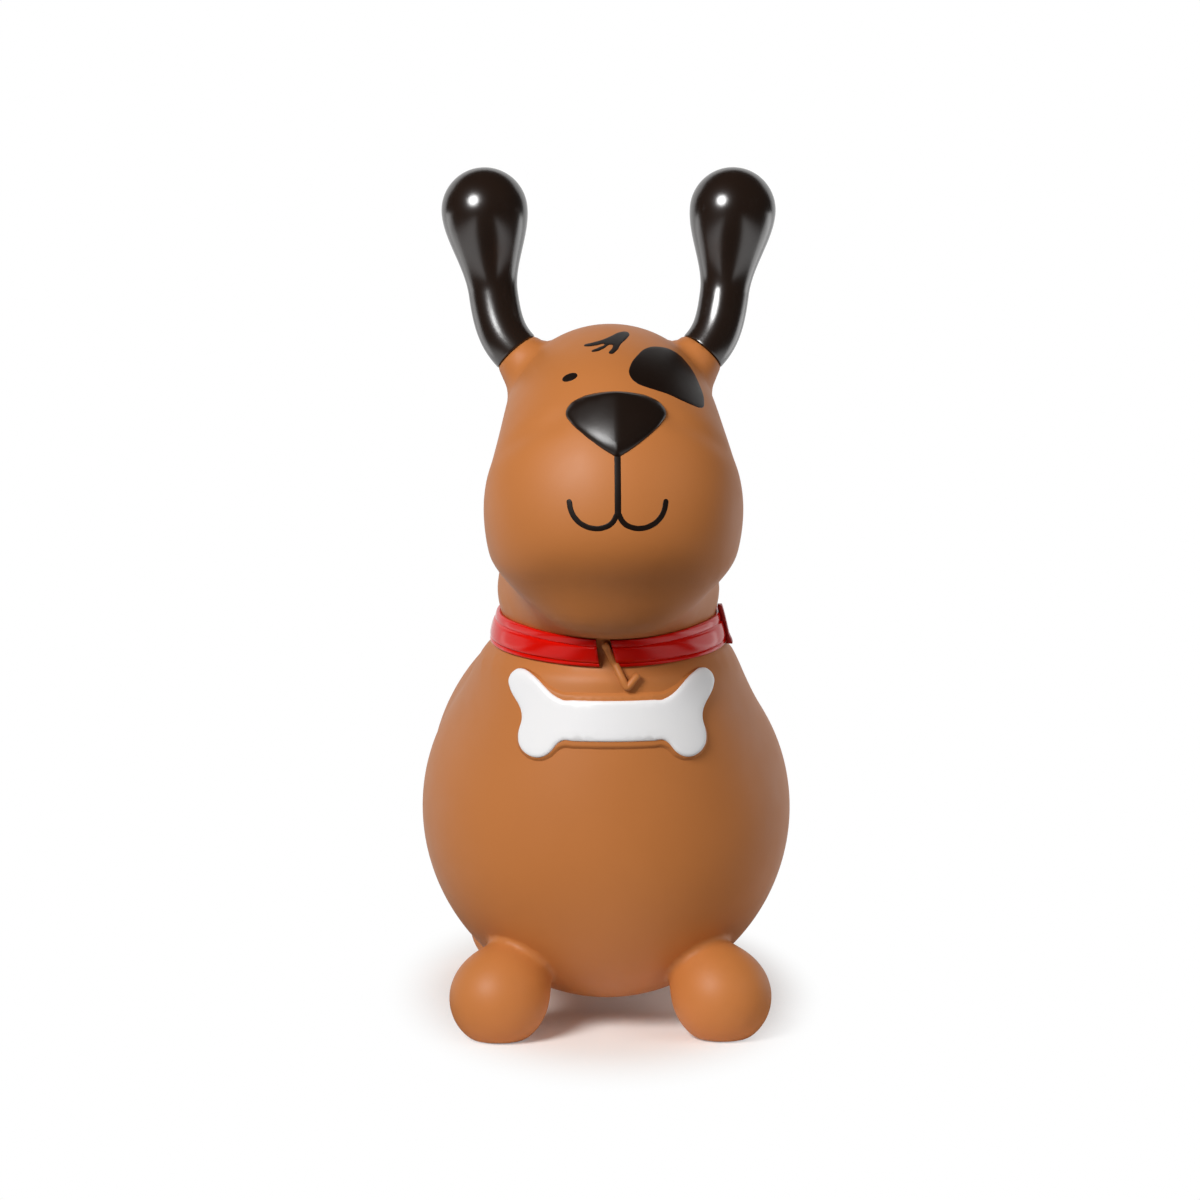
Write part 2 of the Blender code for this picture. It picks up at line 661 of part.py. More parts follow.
def add_stub(skin, side, tree, name):
    """Join a stub for an ear to the skin, and bore it through to the air chamber."""
    axis = ear_axis(side)
    end = along(stub_end(side, tree), axis)
    radius = EAR_BASE / 2
    bore = SPIGOT_DIAMETER / 2 + GAP
    deep = -STUB_ROOT - OVERRUN
    stub = turned(name + "_stub", [(0, 0), (radius, 0), (radius + STUB_TAPER, -STUB_ROOT), (0, -STUB_ROOT)],
                  CUTTERS, end)
    hole = turned(name + "_bore", [(0, OVERRUN), (bore, OVERRUN), (bore, deep), (0, deep)], CUTTERS, end)
    boolean(skin, stub, 'UNION')
    return hole


def collar_front(collar, height):
    """Level of the collar's front, at this height on the strap."""
    frame, _, half_length = collar
    return (frame @ Vector((0, -half_length, height))).z


def ring_tip():
    """Level of the tag ring's point, clear of the plate round the bone."""
    return BONE_Z + BONE_BAR / 2 + PLATE_MARGIN + RING_ROD / 2 + GAP


def ring_arm(level, upper):
    """Sideways place of the ring's long arm at a level."""
    return RING_TIP_X - RING_SPREAD * (level - ring_tip()) / (upper - ring_tip())


def before_skin(tree, x, level, radius):
    """Middle of a rod that stands clear in front of the skin, over its own width."""
    sides = (-radius, 0, radius)
    spots = [Vector((x + across, 0, level + up)) for across in sides for up in sides]
    face = min(tree.ray_cast(spot + FRONT, -FRONT)[0].y for spot in spots)
    return Vector((x, face - radius - LOOSE_GAP, level))


def make_ring(collar, tree):
    """The tag's ring: a thin rod that runs down through the collar's opening to a point and up again."""
    radius = RING_ROD / 2
    upper = collar_front(collar, COLLAR_HEIGHT / 2)
    lower = collar_front(collar, -COLLAR_HEIGHT / 2)
    top = Vector((ring_arm(upper - radius, upper), upper - radius))
    point = Vector((RING_TIP_X, ring_tip()))
    hook = Vector((RING_TIP_X + RING_HOOK, lower - radius - GAP))
    steps = 10
    arms = []
    for name, start, collection in (("tag_ring", top, PARTS), ("ring_hook", hook, CUTTERS)):
        route = [before_skin(tree, *start.lerp(point, step / steps), radius) for step in range(steps + 1)]
        arms.append(rod(name, route, [radius] * len(route), collection, 8))
    boolean(*arms, 'UNION')
    return arms[0]


def valve_frame(tree):
    """Frame on the skin behind the rump's middle, local Z pointing out."""
    start = Vector((0, RUMP_Y, RUMP_Z))
    return along(start - FRONT * reach_of(tree, start, -FRONT), -FRONT)


def valve_recess(frame):
    """Cutter for the valve's flange and neck in the skin."""
    flange = VALVE_FLANGE / 2 + GAP
    neck = VALVE_NECK / 2 + GAP
    floor = -VALVE_FLANGE_THICKNESS - GAP
    deep = floor - VALVE_NECK_LENGTH
    profile = [(0, OVERRUN), (flange, OVERRUN), (flange, floor), (neck, floor), (neck, deep), (0, deep)]
    return turned("valve_recess", profile, CUTTERS, frame)


def make_valve_seat(frame):
    """A flanged sleeve, its face level with the skin."""
    flange = VALVE_FLANGE / 2
    neck = VALVE_NECK / 2
    bore = VALVE_BORE / 2
    back = -VALVE_FLANGE_THICKNESS
    end = back - VALVE_NECK_LENGTH
    profile = [(flange - VALVE_EDGE, 0), (flange, -VALVE_EDGE), (flange, back), (neck, back), (neck, end),
               (bore, end), (bore, 0)]
    return turned("valve_seat", profile, PARTS, frame)


def make_valve_plug(frame):
    """A plug with a flat head over the seat and a shank with a bead near its tapered end."""
    head = PLUG_HEAD / 2
    top = GAP + PLUG_HEAD_THICKNESS
    bead = VALVE_BORE / 2 - GAP
    shank = bead - PLUG_BEAD
    end = -PLUG_SHANK_LENGTH
    taper = end + PLUG_POINT
    profile = [(0, top), (head - PLUG_EDGE, top), (head, top - PLUG_EDGE), (head, GAP), (shank, GAP),
               (shank, taper + PLUG_POINT), (bead, taper + PLUG_POINT / 2), (bead, taper),
               (shank - PLUG_EDGE, end), (0, end)]
    return turned("valve_plug", profile, PARTS, frame)


def finish(made, colour, roughness):
    """Give a piece its material, and shade it smooth but for its sharp edges."""
    material = bpy.data.materials.new(made.name)
    material.use_nodes = True
    shader = material.node_tree.nodes["Principled BSDF"]
    shader.inputs["Base Color"].default_value = (*colour, 1)
    shader.inputs["Roughness"].default_value = roughness
    shader.inputs["Metallic"].default_value = 0
    made.data.materials.clear()
    made.data.materials.append(material)
    made.data.shade_smooth()
    made.data.set_sharp_from_angle(angle=math.radians(40))


def main():
    skin, collar = bare_skin()
    tree = surface_of(skin)
    valve = valve_frame(tree)
    chamber = air_chamber(skin)
    boolean(chamber, neck_ring("chamber_seat", collar, strap_room(SEAT_WALL), tree, CUTTERS), 'DIFFERENCE')

    plate = pad("bone_plate", bone_outline(PLATE_MARGIN), tree, WALL / 2, PLATE_PROUD, 0, CUTTERS, phase=0.5)
    boolean(skin, plate, 'UNION')
    sides = (("ear_handle_right", -1), ("ear_handle_left", 1))
    bores = [add_stub(skin, side, tree, name) for name, side in sides]
    boolean(skin, chamber, 'DIFFERENCE')
    boolean(skin, neck_ring("collar_seat", collar, strap_room(0), tree, CUTTERS), 'DIFFERENCE')
    for bore in bores:
        boolean(skin, bore, 'DIFFERENCE')
    boolean(skin, valve_recess(valve), 'DIFFERENCE')
    boolean(skin, pad("nose_seat", nose_outline(GAP), tree, PAD_SEAT + LOOSE_GAP, OVERRUN, 0, CUTTERS),
            'DIFFERENCE')
    finish(skin, (0.47, 0.17, 0.05), 0.42)

    for name, side in sides:
        finish(make_ear(side, tree, name), (0.015, 0.008, 0.005), 0.15)
    finish(pad("nose_pad", nose_outline(0), tree, PAD_SEAT, NOSE_PROUD, NOSE_EDGE, PARTS),
           (0.015, 0.008, 0.005), 0.2)
    finish(make_collar(collar, tree), (0.62, 0.02, 0.01), 0.25)
    finish(make_keeper(collar, tree), (0.45, 0.015, 0.01), 0.25)
    finish(make_valve_seat(valve), (0.47, 0.17, 0.05), 0.4)
    finish(make_valve_plug(valve), (0.8, 0.8, 0.78), 0.4)

    dressed = surface_of(skin)
    boolean(skin, pad("bone_seat", bone_outline(GAP), dressed, PAD_SEAT + LOOSE_GAP, OVERRUN, 0, CUTTERS),
            'DIFFERENCE')
    finish(pad("bone_tag", bone_outline(0), dressed, PAD_SEAT, BONE_PROUD, BONE_PROUD, PARTS),
           (0.85, 0.85, 0.84), 0.3)
    finish(make_ring(collar, tree), (0.40, 0.14, 0.04), 0.4)


for old in list(bpy.data.objects):
    bpy.data.objects.remove(old)
PARTS = new_collection("animal_hopper")
CUTTERS = new_collection("cutters")
main()
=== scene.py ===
# %% [markdown]
# # A dog hopper, dressed for its portrait
#
# The toy is an inflated skin of soft vinyl that a small child sits on and bounces, with two ears for
# handles. Its solids were modelled and packed beforehand, and they stay the fixed frame of this lesson.
# What is added here is what the eye sees: a finer skin, glossy ears and nose, painted marks, a shiny
# collar and a bone tag. Lengths are in metres, Z is up, and the toy looks along -Y with its left side at
# +X. Loading the frame first means that every later piece is placed in the same space.

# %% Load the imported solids
import math

import bmesh
import bpy
import numpy as np
from mathutils.geometry import delaunay_2d_cdt
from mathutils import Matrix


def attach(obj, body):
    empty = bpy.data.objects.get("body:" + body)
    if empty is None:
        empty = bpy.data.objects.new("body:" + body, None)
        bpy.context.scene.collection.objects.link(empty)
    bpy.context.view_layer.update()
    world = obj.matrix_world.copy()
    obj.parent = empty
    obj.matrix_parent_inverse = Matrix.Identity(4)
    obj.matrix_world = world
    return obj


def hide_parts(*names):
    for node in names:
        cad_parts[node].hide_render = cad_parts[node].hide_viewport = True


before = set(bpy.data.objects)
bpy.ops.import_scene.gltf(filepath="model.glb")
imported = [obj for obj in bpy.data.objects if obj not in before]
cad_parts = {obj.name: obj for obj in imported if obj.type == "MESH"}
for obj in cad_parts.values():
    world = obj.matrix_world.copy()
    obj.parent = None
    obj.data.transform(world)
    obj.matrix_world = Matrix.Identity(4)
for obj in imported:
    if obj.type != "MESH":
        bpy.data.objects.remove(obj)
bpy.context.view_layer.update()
print("solids:", ", ".join(sorted(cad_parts)))

# %% [markdown]
# ## The body as a field
#
# The real body is blown up from one mould, so chest, belly, rump, neck and head run into each other without
# a seam. A grid of two parameters can't follow a form that branches into feet and a tail, so the body is a
# field instead: each rounded mass adds a hill of (1 - q)^3, where q is the squared distance from its middle
# in shares of its reach, and the skin lies where the hills add up to one level. The masses are those of the
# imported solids, so the finer skin lands where the solid is.

# %% The masses
LEVEL = 0.6
MASSES = np.array([             # middle x, y, z; width, length, height; stiffness; tilt in degrees
    (0, -0.0432, 0.1305, 0.2195, 0.2100, 0.2296, 6, 0),             # chest
    (0, 0.0220, 0.1370, 0.2177, 0.2400, 0.2060, 3, 0),              # belly
    (0, 0.0920, 0.1380, 0.2000, 0.2500, 0.2220, 5, 0),              # rump
    (0, -0.0600, 0.2102, 0.1597, 0.1720, 0.2776, 6, 0),             # neck
    (0, -0.0950, 0.3843, 0.1283, 0.1500, 0.1189, 4, 0),             # crown
    (0, -0.1500, 0.3355, 0.1562, 0.1400, 0.1632, 4, 0),             # muzzle
    (0, 0.1905, 0.2063, 0.0440, 0.0800, 0.0440, 6, 38),             # tail
    (-0.06965, -0.1030, 0.0257, 0.0612, 0.0612, 0.0612, 8, 0),      # front feet
    (0.06965, -0.1030, 0.0257, 0.0612, 0.0612, 0.0612, 8, 0),
    (-0.0560, 0.1250, 0.0257, 0.0612, 0.0612, 0.0612, 8, 0),        # rear feet
    (0.0560, 0.1250, 0.0257, 0.0612, 0.0612, 0.0612, 8, 0),
])
MIDDLES, SIZES, STIFF, TILTS = MASSES[:, :3], MASSES[:, 3:6], MASSES[:, 6], np.radians(MASSES[:, 7])
REACHES = SIZES / 2 / np.sqrt(1 - (LEVEL / STIFF[:, None]) ** (1 / 3))
TURNS = np.zeros((len(MASSES), 3, 3))
TURNS[:, 0, 0] = 1
TURNS[:, 1, 1] = TURNS[:, 2, 2] = np.cos(TILTS)
TURNS[:, 2, 1] = np.sin(TILTS)
TURNS[:, 1, 2] = -np.sin(TILTS)
LEAST_SLOPE = 2.0               # keeps the distance finite where the field is flat


def plain_gap(points):
    """Rough distance to the plain body, positive outside: the missing field over the field's slope."""
    local = np.einsum("nmi,mij->nmj", points[:, None] - MIDDLES, TURNS) / REACHES
    hill = np.clip(1 - (local ** 2).sum(-1), 0, None)
    field = (STIFF * hill ** 3).sum(-1) - LEVEL
    slope = np.einsum("nm,nmj,mij->ni", 6 * STIFF * hill ** 2, local / REACHES, TURNS)
    return -field / np.maximum(np.linalg.norm(slope, axis=1), LEAST_SLOPE)


print("body masses:", len(MASSES), "reach of the chest", REACHES[0].round(3))

# %% [markdown]
# ## Measuring the skin
#
# Ears, collar, nose and valve all sit on the skin, so the lesson keeps asking where it is. Blender can
# cast rays at a mesh, but a field needs no mesh: a ray from inside is halved again and again, always
# keeping the half in which the distance changes its sign, and all rays are halved together as one array.

# %% Rays out of the body
FRONT = np.array((0.0, -1.0, 0.0))
HALVINGS = 32


def way_out(gap, starts, ways, far):
    """Length of each ray from inside the body to its surface, by halving the stretch that holds the exit."""
    starts, ways = np.broadcast_arrays(starts, ways)
    near, far = np.zeros(len(starts)), np.full(len(starts), float(far))
    for _ in range(HALVINGS):
        middle = (near + far) / 2
        inside = gap(starts + ways * middle[:, None]) < 0
        near = np.where(inside, middle, near)
        far = np.where(inside, far, middle)
    return far


print("chest before its middle:", way_out(plain_gap, MIDDLES[:1], FRONT[None], 0.2).round(4))

# %% [markdown]
# ## The neck, the cheeks and the stubs of the ears
#
# The collar draws the neck in, the skin tucks in under the chin, a soft valley runs over each cheek, and
# two short brown stubs carry the ears. A sculptor would push such forms in with a brush. Here each is a
# term that is added to the distance, a bell of the height that fades to the sides, so the skin stays one
# smooth formula. A stub is a cone whose distance is joined to the body's by a soft minimum, which leaves
# the small fillet that a mould has.

# %% The collar's plane
SIDEWAYS = np.array((1.0, 0, 0))
COLLAR_TILT = math.radians(4.5)
COLLAR_HEIGHT = 0.0190
COLLAR_BACK = np.array((0, math.cos(COLLAR_TILT), math.sin(COLLAR_TILT)))
COLLAR_UP = np.array((0, -math.sin(COLLAR_TILT), math.cos(COLLAR_TILT)))
NECK_CORE = np.array((0, -0.060, 0.2545))
HEAD_REACH = 0.12               # longer than any way out of the neck or the head
to_back, to_front = way_out(plain_gap, NECK_CORE[None], np.stack([COLLAR_BACK, -COLLAR_BACK]), HEAD_REACH)
COLLAR_MIDDLE = NECK_CORE + COLLAR_BACK * (to_back - to_front) / 2
NECK_LENGTH = (to_back + to_front) / 2
NECK_WIDTH = way_out(plain_gap, COLLAR_MIDDLE[None], SIDEWAYS[None], HEAD_REACH)[0]
print("neck at the collar:", round(NECK_WIDTH * 2000), "x", round(NECK_LENGTH * 2000), "mm")

# %% The pinch, the cheeks and the throat
PINCH, PINCH_HALF, PINCH_FADE = 0.0070, 0.014, 0.020            # depth, half height, fade off the neck
CREASE, CREASE_HALF, CREASE_SQUARE = 0.0014, 0.0075, 0.88       # depth, half width, width over height
CREASE_X, CREASE_Y, CREASE_Z = 0.030, -0.191, 0.394             # its line starts at the nose's corner
CREASE_FALL, CREASE_RUN = 0.293, 0.449                          # and falls outwards and backwards
CREASE_FROM, CREASE_TO, CREASE_END = (0.022, 0.014), (0.060, 0.018), (0.09, 0.05)
TUCK, TUCK_Z, TUCK_HALF = 0.0066, 0.289, 0.021                  # depth, height, half height
TUCK_SIDE, TUCK_FRONT = (0.03, 0.05), (0.11, 0.03)
FILL, FILL_Z, FILL_HALF = 0.0068, 0.301, 0.016
FILL_Y, FILL_LENGTH, FILL_SIDE = -0.085, 0.05, (0.035, 0.03)


def step(value, start, length):
    """Smooth step 3 t^2 - 2 t^3, where t runs from 0 at a start to 1 at a length after it."""
    t = np.clip((value - start) / length, 0, 1)
    return t * t * (3 - 2 * t)


def pinch(points):
    """How far the collar draws the neck in: a flat-topped bell of the height over its plane."""
    local = points - COLLAR_MIDDLE
    oval = np.hypot(local[:, 0] / NECK_WIDTH, local @ COLLAR_BACK / NECK_LENGTH)
    fade = 1 - step((oval - 1) * NECK_WIDTH, 0, PINCH_FADE)
    return PINCH * np.exp(-(local @ COLLAR_UP / PINCH_HALF) ** 4) * fade


def cheek_crease(points):
    """How deep the valley is where the muzzle swells out under the eyes: a bell of the height over a line."""
    across, along = np.abs(points[:, 0]), points[:, 1]
    line = CREASE_Z - CREASE_FALL * (across - CREASE_X) - CREASE_RUN * (along - CREASE_Y)
    reach = step(across, *CREASE_FROM) * (1 - step(across, *CREASE_TO)) * step(-along, *CREASE_END)
    return CREASE * np.exp(-((points[:, 2] - line) * CREASE_SQUARE / CREASE_HALF) ** 2) * reach


def throat(points):
    """How far the skin tucks in under the chin, less how far it bridges the fold at the sides of the neck:
    two bells of the height, one faded in towards the front and one towards the sides."""
    across, along, height = np.abs(points[:, 0]), points[:, 1], points[:, 2]
    tuck = TUCK * np.exp(-((height - TUCK_Z) / TUCK_HALF) ** 2)
    fill = FILL * np.exp(-((height - FILL_Z) / FILL_HALF) ** 2 - ((along - FILL_Y) / FILL_LENGTH) ** 2)
    tuck = tuck * (1 - step(across, *TUCK_SIDE)) * step(-along, *TUCK_FRONT)
    return tuck - fill * step(across, *FILL_SIDE)


print("drawn in by", PINCH * 1000, "mm at the collar and", TUCK * 1000, "mm under the chin")

# %% The stubs
EAR_LEAN, EAR_SWEEP = math.radians(43), math.radians(18)
EAR_ROOT = np.array((0.0202, -0.095, 0.3843))                   # inside the crown
STUB_RISE = 0.009                                               # out of the crown


def ear_axis(side):
    """Way that an ear leaves the crown: up, outwards and a little backwards."""
    flat = math.sin(EAR_LEAN)
    return np.array((side * flat * math.cos(EAR_SWEEP), flat * math.sin(EAR_SWEEP), math.cos(EAR_LEAN)))


def stub_end(side):
    """Middle of a stub's end, out of the crown along the ear's axis."""
    root, axis = EAR_ROOT * (side, 1, 1), ear_axis(side)
    return root + axis * (way_out(plain_gap, root[None], axis[None], HEAD_REACH)[0] + STUB_RISE)


STUBS = {side: (stub_end(side), ear_axis(side)) for side in (-1, 1)}
print("stub ends:", [end.round(4).tolist() for end, _ in STUBS.values()])

# %% The whole skin
STUB_WIDTH, STUB_DEPTH = 0.0298, 0.030                          # of its end, into the crown
STUB_SPREAD, STUB_SQUARE = 0.32, 0.952                          # widening, and 1 / sqrt(1 + spread^2)
STUB_EDGE, STUB_FILLET = 0.0012, 0.005                          # rounding of its end and of its foot
SHIFT = 1e-4                                                    # for slopes of the distance


def soft_min(one, other, width):
    """The smaller of two distances, rounded over a width where they are close."""
    share = np.clip(0.5 + (other - one) / (2 * width), 0, 1)
    return other + (one - other) * share - width * share * (1 - share)


def stub_gap(points, end, axis):
    """Distance to a short cone that widens into the crown, cut square at its end with a rounded edge."""
    depth = (end - points) @ axis
    off_axis = np.linalg.norm(points - end + depth[:, None] * axis, axis=1)
    flank = (off_axis - STUB_WIDTH / 2 - STUB_SPREAD * depth) * STUB_SQUARE
    return np.maximum(-soft_min(-flank, depth, STUB_EDGE), depth - STUB_DEPTH)


def skin_gap(points):
    """Rough distance to the skin: the body, drawn in and filled at neck and cheeks, joined to the stubs."""
    gap = plain_gap(points) + pinch(points) + cheek_crease(points) + throat(points)
    for end, axis in STUBS.values():
        gap = soft_min(gap, stub_gap(points, end, axis), STUB_FILLET)
    return gap


def unit(ways):
    """Ways divided by their lengths."""
    return ways / np.linalg.norm(ways, axis=-1, keepdims=True)


def outward(gap, points):
    """Unit normals: the change of the distance over small shifts along X, Y and Z."""
    shifts = SHIFT * np.eye(3)
    return unit(np.stack([gap(points + shift) - gap(points - shift) for shift in shifts], axis=1))


end_gaps = skin_gap(np.stack([end for end, _ in STUBS.values()]))
print("skin from the stubs' ends:", (1000 * end_gaps).round(3), "mm")

# %% [markdown]
# ## A net for the skin
#
# The field says where the skin is, and a mesh has to be drawn over it. Marching through a block of cells
# would do, and Blender's metaballs already do that with the same field, so they give a first net with the
# right holes and branches. It is coarse and a little bumpy, so one subdivision makes it finer, and then
# every point steps along its normal by its own distance, all points at once, until they lie on the skin.

# %% The first net
NET_CELL = 0.0055
STUB_BALL, STUB_BALL_DEPTH, STUB_BALL_STIFF = 0.022, 0.008, 8


def mesh_of(made):
    """A plain mesh of an object as it looks with its modifiers, and the object taken away."""
    bpy.context.scene.collection.objects.link(made)
    bpy.context.view_layer.update()
    mesh = bpy.data.meshes.new_from_object(made.evaluated_get(bpy.context.evaluated_depsgraph_get()))
    bpy.data.objects.remove(made)
    return mesh


def first_net(cell):
    """Metaballs of the masses, with a small ball for each stub."""
    balls = bpy.data.metaballs.new("skin_net")
    balls.threshold = LEVEL
    balls.resolution = balls.render_resolution = cell
    for middle, stiff, reach, tilt in zip(MIDDLES, STIFF, REACHES, TILTS):
        ball = balls.elements.new(type='ELLIPSOID')
        ball.co = middle
        ball.radius = 1
        ball.stiffness = stiff
        ball.rotation = (math.cos(tilt / 2), math.sin(tilt / 2), 0, 0)
        ball.size_x, ball.size_y, ball.size_z = reach
    for end, axis in STUBS.values():
        ball = balls.elements.new(type='BALL')
        ball.co = end - STUB_BALL_DEPTH * axis
        ball.radius = STUB_BALL
        ball.stiffness = STUB_BALL_STIFF
    return mesh_of(bpy.data.objects.new("skin_net", balls))


coarse_mesh = first_net(NET_CELL)
print("first net:", len(coarse_mesh.vertices), "points")

# %% The skin
NEWTON_STEPS, LONGEST_STEP = 6, 0.006


def finer(mesh):
    """The mesh with each face cut in four."""
    made = bpy.data.objects.new("finer", mesh)
    cut = made.modifiers.new("finer", 'SUBSURF')
    cut.levels = cut.render_levels = 1
    return mesh_of(made)


def points_of(mesh):
    """The places of a mesh's points as one array."""
    points = np.empty(len(mesh.vertices) * 3)
    mesh.vertices.foreach_get("co", points)
    return points.reshape(-1, 3)


skin_mesh = finer(coarse_mesh)
skin = points_of(skin_mesh)
for _ in range(NEWTON_STEPS):
    skin = skin - outward(skin_gap, skin) * np.clip(skin_gap(skin), -LONGEST_STEP, LONGEST_STEP)[:, None]
print("skin points:", len(skin), "farthest off", round(np.abs(skin_gap(skin)).max() * 1000, 3), "mm")

# %% [markdown]
# ## Soft folds beside the collar
#
# Inflated vinyl can't fold sharply, so the creases between the jaw, the neck and the shoulders are filled
# a little. A cloth simulation under pressure would find such folds too, but slowly, and the form is known
# here. Each point moves towards the mean of its neighbours, many times over, with a share that is full
# just above and below the collar and fades out to the head, the chest and the tag in front.

# %% Smooth the folds
OFF_STRAP, HEAD_FADE, CHEST_FADE, TAG_FADE = (0.0095, 0.006), (0.040, 0.020), (0.028, 0.016), (0.045, 0.02)
TAG_Y, TAG_OVAL = -0.10, 0.9
SMOOTHINGS, FULL_SHARE = 60, 0.5

edge_ends = np.empty(len(skin_mesh.edges) * 2, dtype=np.int64)
skin_mesh.edges.foreach_get("vertices", edge_ends)
one_end, other_end = edge_ends.reshape(-1, 2).T
neighbours = np.bincount(edge_ends, minlength=len(skin))[:, None]
over = (skin - COLLAR_MIDDLE) @ COLLAR_UP
from_tag = np.hypot(skin[:, 0] / TAG_OVAL, np.maximum(skin[:, 1] - TAG_Y, 0))
upper = step(over, *OFF_STRAP) * (1 - step(over, *HEAD_FADE))
lower = step(-over, *OFF_STRAP) * (1 - step(-over, *CHEST_FADE)) * step(from_tag, *TAG_FADE)
smoothed = FULL_SHARE * (upper + lower)[:, None]
for _ in range(SMOOTHINGS):
    total = np.zeros_like(skin)
    np.add.at(total, one_end, skin[other_end])
    np.add.at(total, other_end, skin[one_end])
    skin = skin + smoothed * (total / neighbours - skin)
print("points smoothed:", int((smoothed > 0.01).sum()))

# %% [markdown]
# ## Soles and valve pocket
#
# Where the toy stands, its soft feet are pressed flat. A Boolean cut would leave a sharp edge, so a soft
# maximum of the height and zero does it and leaves the edge of each sole rounded. Behind, the skin dips
# into a pocket for the valve, so that the hole is real when its plug is pulled.

# %% Flat soles and the pocket
SOLE_ROUNDING = 0.0012
POCKET_DEPTH, POCKET_RADIUS, POCKET_RIM = 0.014, 0.0112, 0.0022
VALVE_CORE = np.array((0, 0.092, 0.138))
VALVE_REACH = 0.2
VALVE = VALVE_CORE - FRONT * way_out(skin_gap, VALVE_CORE[None], -FRONT[None], VALVE_REACH)[0]
skin[:, 2] = (skin[:, 2] + np.hypot(skin[:, 2], SOLE_ROUNDING)) / 2
from_valve = np.hypot(skin[:, 0] - VALVE[0], skin[:, 2] - VALVE[2])
behind = skin[:, 1] > VALVE_CORE[1]
skin[:, 1] -= POCKET_DEPTH * step(POCKET_RADIUS - from_valve, 0, POCKET_RIM) * behind
skin_mesh.vertices.foreach_set("co", skin.ravel())
skin_mesh.update()
print("lowest point", round(skin[:, 2].min() * 1000, 2), "mm, valve at", VALVE.round(4).tolist())

# %% The skin on its body
def place(name, mesh, body="hopper"):
    """Make a shaded object of a mesh, faces outwards, that rides on a body."""
    work = bmesh.new()
    work.from_mesh(mesh)
    bmesh.ops.recalc_face_normals(work, faces=work.faces)
    work.to_mesh(mesh)
    work.free()
    mesh.shade_smooth()
    mesh.name = name
    made = bpy.data.objects.new(name, mesh)
    bpy.context.scene.collection.objects.link(made)
    print(name, len(mesh.polygons), "faces")
    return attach(made, body)


body = place("inflated_skin", skin_mesh)
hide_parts("body_skin")

# %% [markdown]
# ## Surfaces from grids
#
# The ears, the collar, the ring and the valve are all a section carried along a path. Blender's curves can
# bevel a path too, but a grid of points gives every ring its own size and place: one row for each step
# along the path, one column for each point round the section. Neighbouring rows give the faces as whole
# arrays, and each open end is closed with a fan to its middle.

# %% Mesh of a grid
def grid_mesh(grid, closed=False):
    """Mesh of a grid that is closed round its columns, and either closed round its rows or capped."""
    rows, columns, _ = grid.shape
    index = np.arange(rows * columns).reshape(rows, columns)
    here = index if closed else index[:-1]
    there = np.roll(index, -1, 0) if closed else index[1:]
    quads = np.stack([here, np.roll(here, -1, 1), np.roll(there, -1, 1), there], -1)
    points, faces = grid.reshape(-1, 3), quads.reshape(-1, 4).tolist()
    if not closed:
        points = np.concatenate([points, grid[:1].mean(1), grid[-1:].mean(1)])
        for row, middle in ((index[0], rows * columns), (index[-1], rows * columns + 1)):
            faces += np.stack([row, np.roll(row, -1), np.full(columns, middle)], -1).tolist()
    mesh = bpy.data.meshes.new("grid")
    mesh.from_pydata(points.tolist(), [], faces)
    return mesh


def tube(path, radii, sides, fixed):
    """A round section carried along a path, its rings square to the path and turned against a fixed way."""
    along = unit(np.gradient(path, axis=0))
    one = unit(np.cross(along, fixed))
    other = np.cross(along, one)
    angle = np.linspace(0, 2 * np.pi, sides, endpoint=False)[None, :, None]
    section = np.cos(angle) * one[:, None] + np.sin(angle) * other[:, None]
    return path[:, None] + radii[:, None, None] * section


print("grid and tube are ready")

# %% [markdown]
# ## The ears
#
# The ears are the handles: a grip about 30 mm thick that bends upwards out of its stub and swells into a
# round bulb. A bevelled curve could have a radius set by hand at each of its points. As a tube on a cubic
# bend, the ear gets its radius from a formula instead: it grows by a smooth step over the last stretch.
# The tip is half a ball, which closes the bulb to a point, and a small quarter circle rounds the edge of
# the foot.

# %% Two ears
EAR_PLAY, EAR_STRAIGHT, EAR_LEAD = 0.0003, 0.003, 0.019         # off the stub, before the bend, lead of it
BULB_PLACE = np.array((0.0192, 0.013, 0.0862))                  # from the ear's foot
BULB_LEAD = np.array((0.0055, 0, 0.053))                        # how the bend arrives
GRIP, GRIP_WAIST, BULB, SWELL = 0.0152, 0.0003, 0.0265, 0.051   # radii, and the stretch that swells
FOOT_ROUNDING = 0.0008
EAR_SIDES, EAR_ROWS, STRAIGHT_ROWS, FOOT_ROWS, TIP_ROWS = 64, 70, 4, 6, 22


def cubic(t, start, lead, trail, end):
    """Points at shares t of a cubic curve from start to end, led by two points between."""
    return start * (1 - t) ** 3 + 3 * lead * t * (1 - t) ** 2 + 3 * trail * t * t * (1 - t) + end * t ** 3


def shares(count):
    """A column of even shares from 0 to 1."""
    return np.linspace(0, 1, count)[:, None]


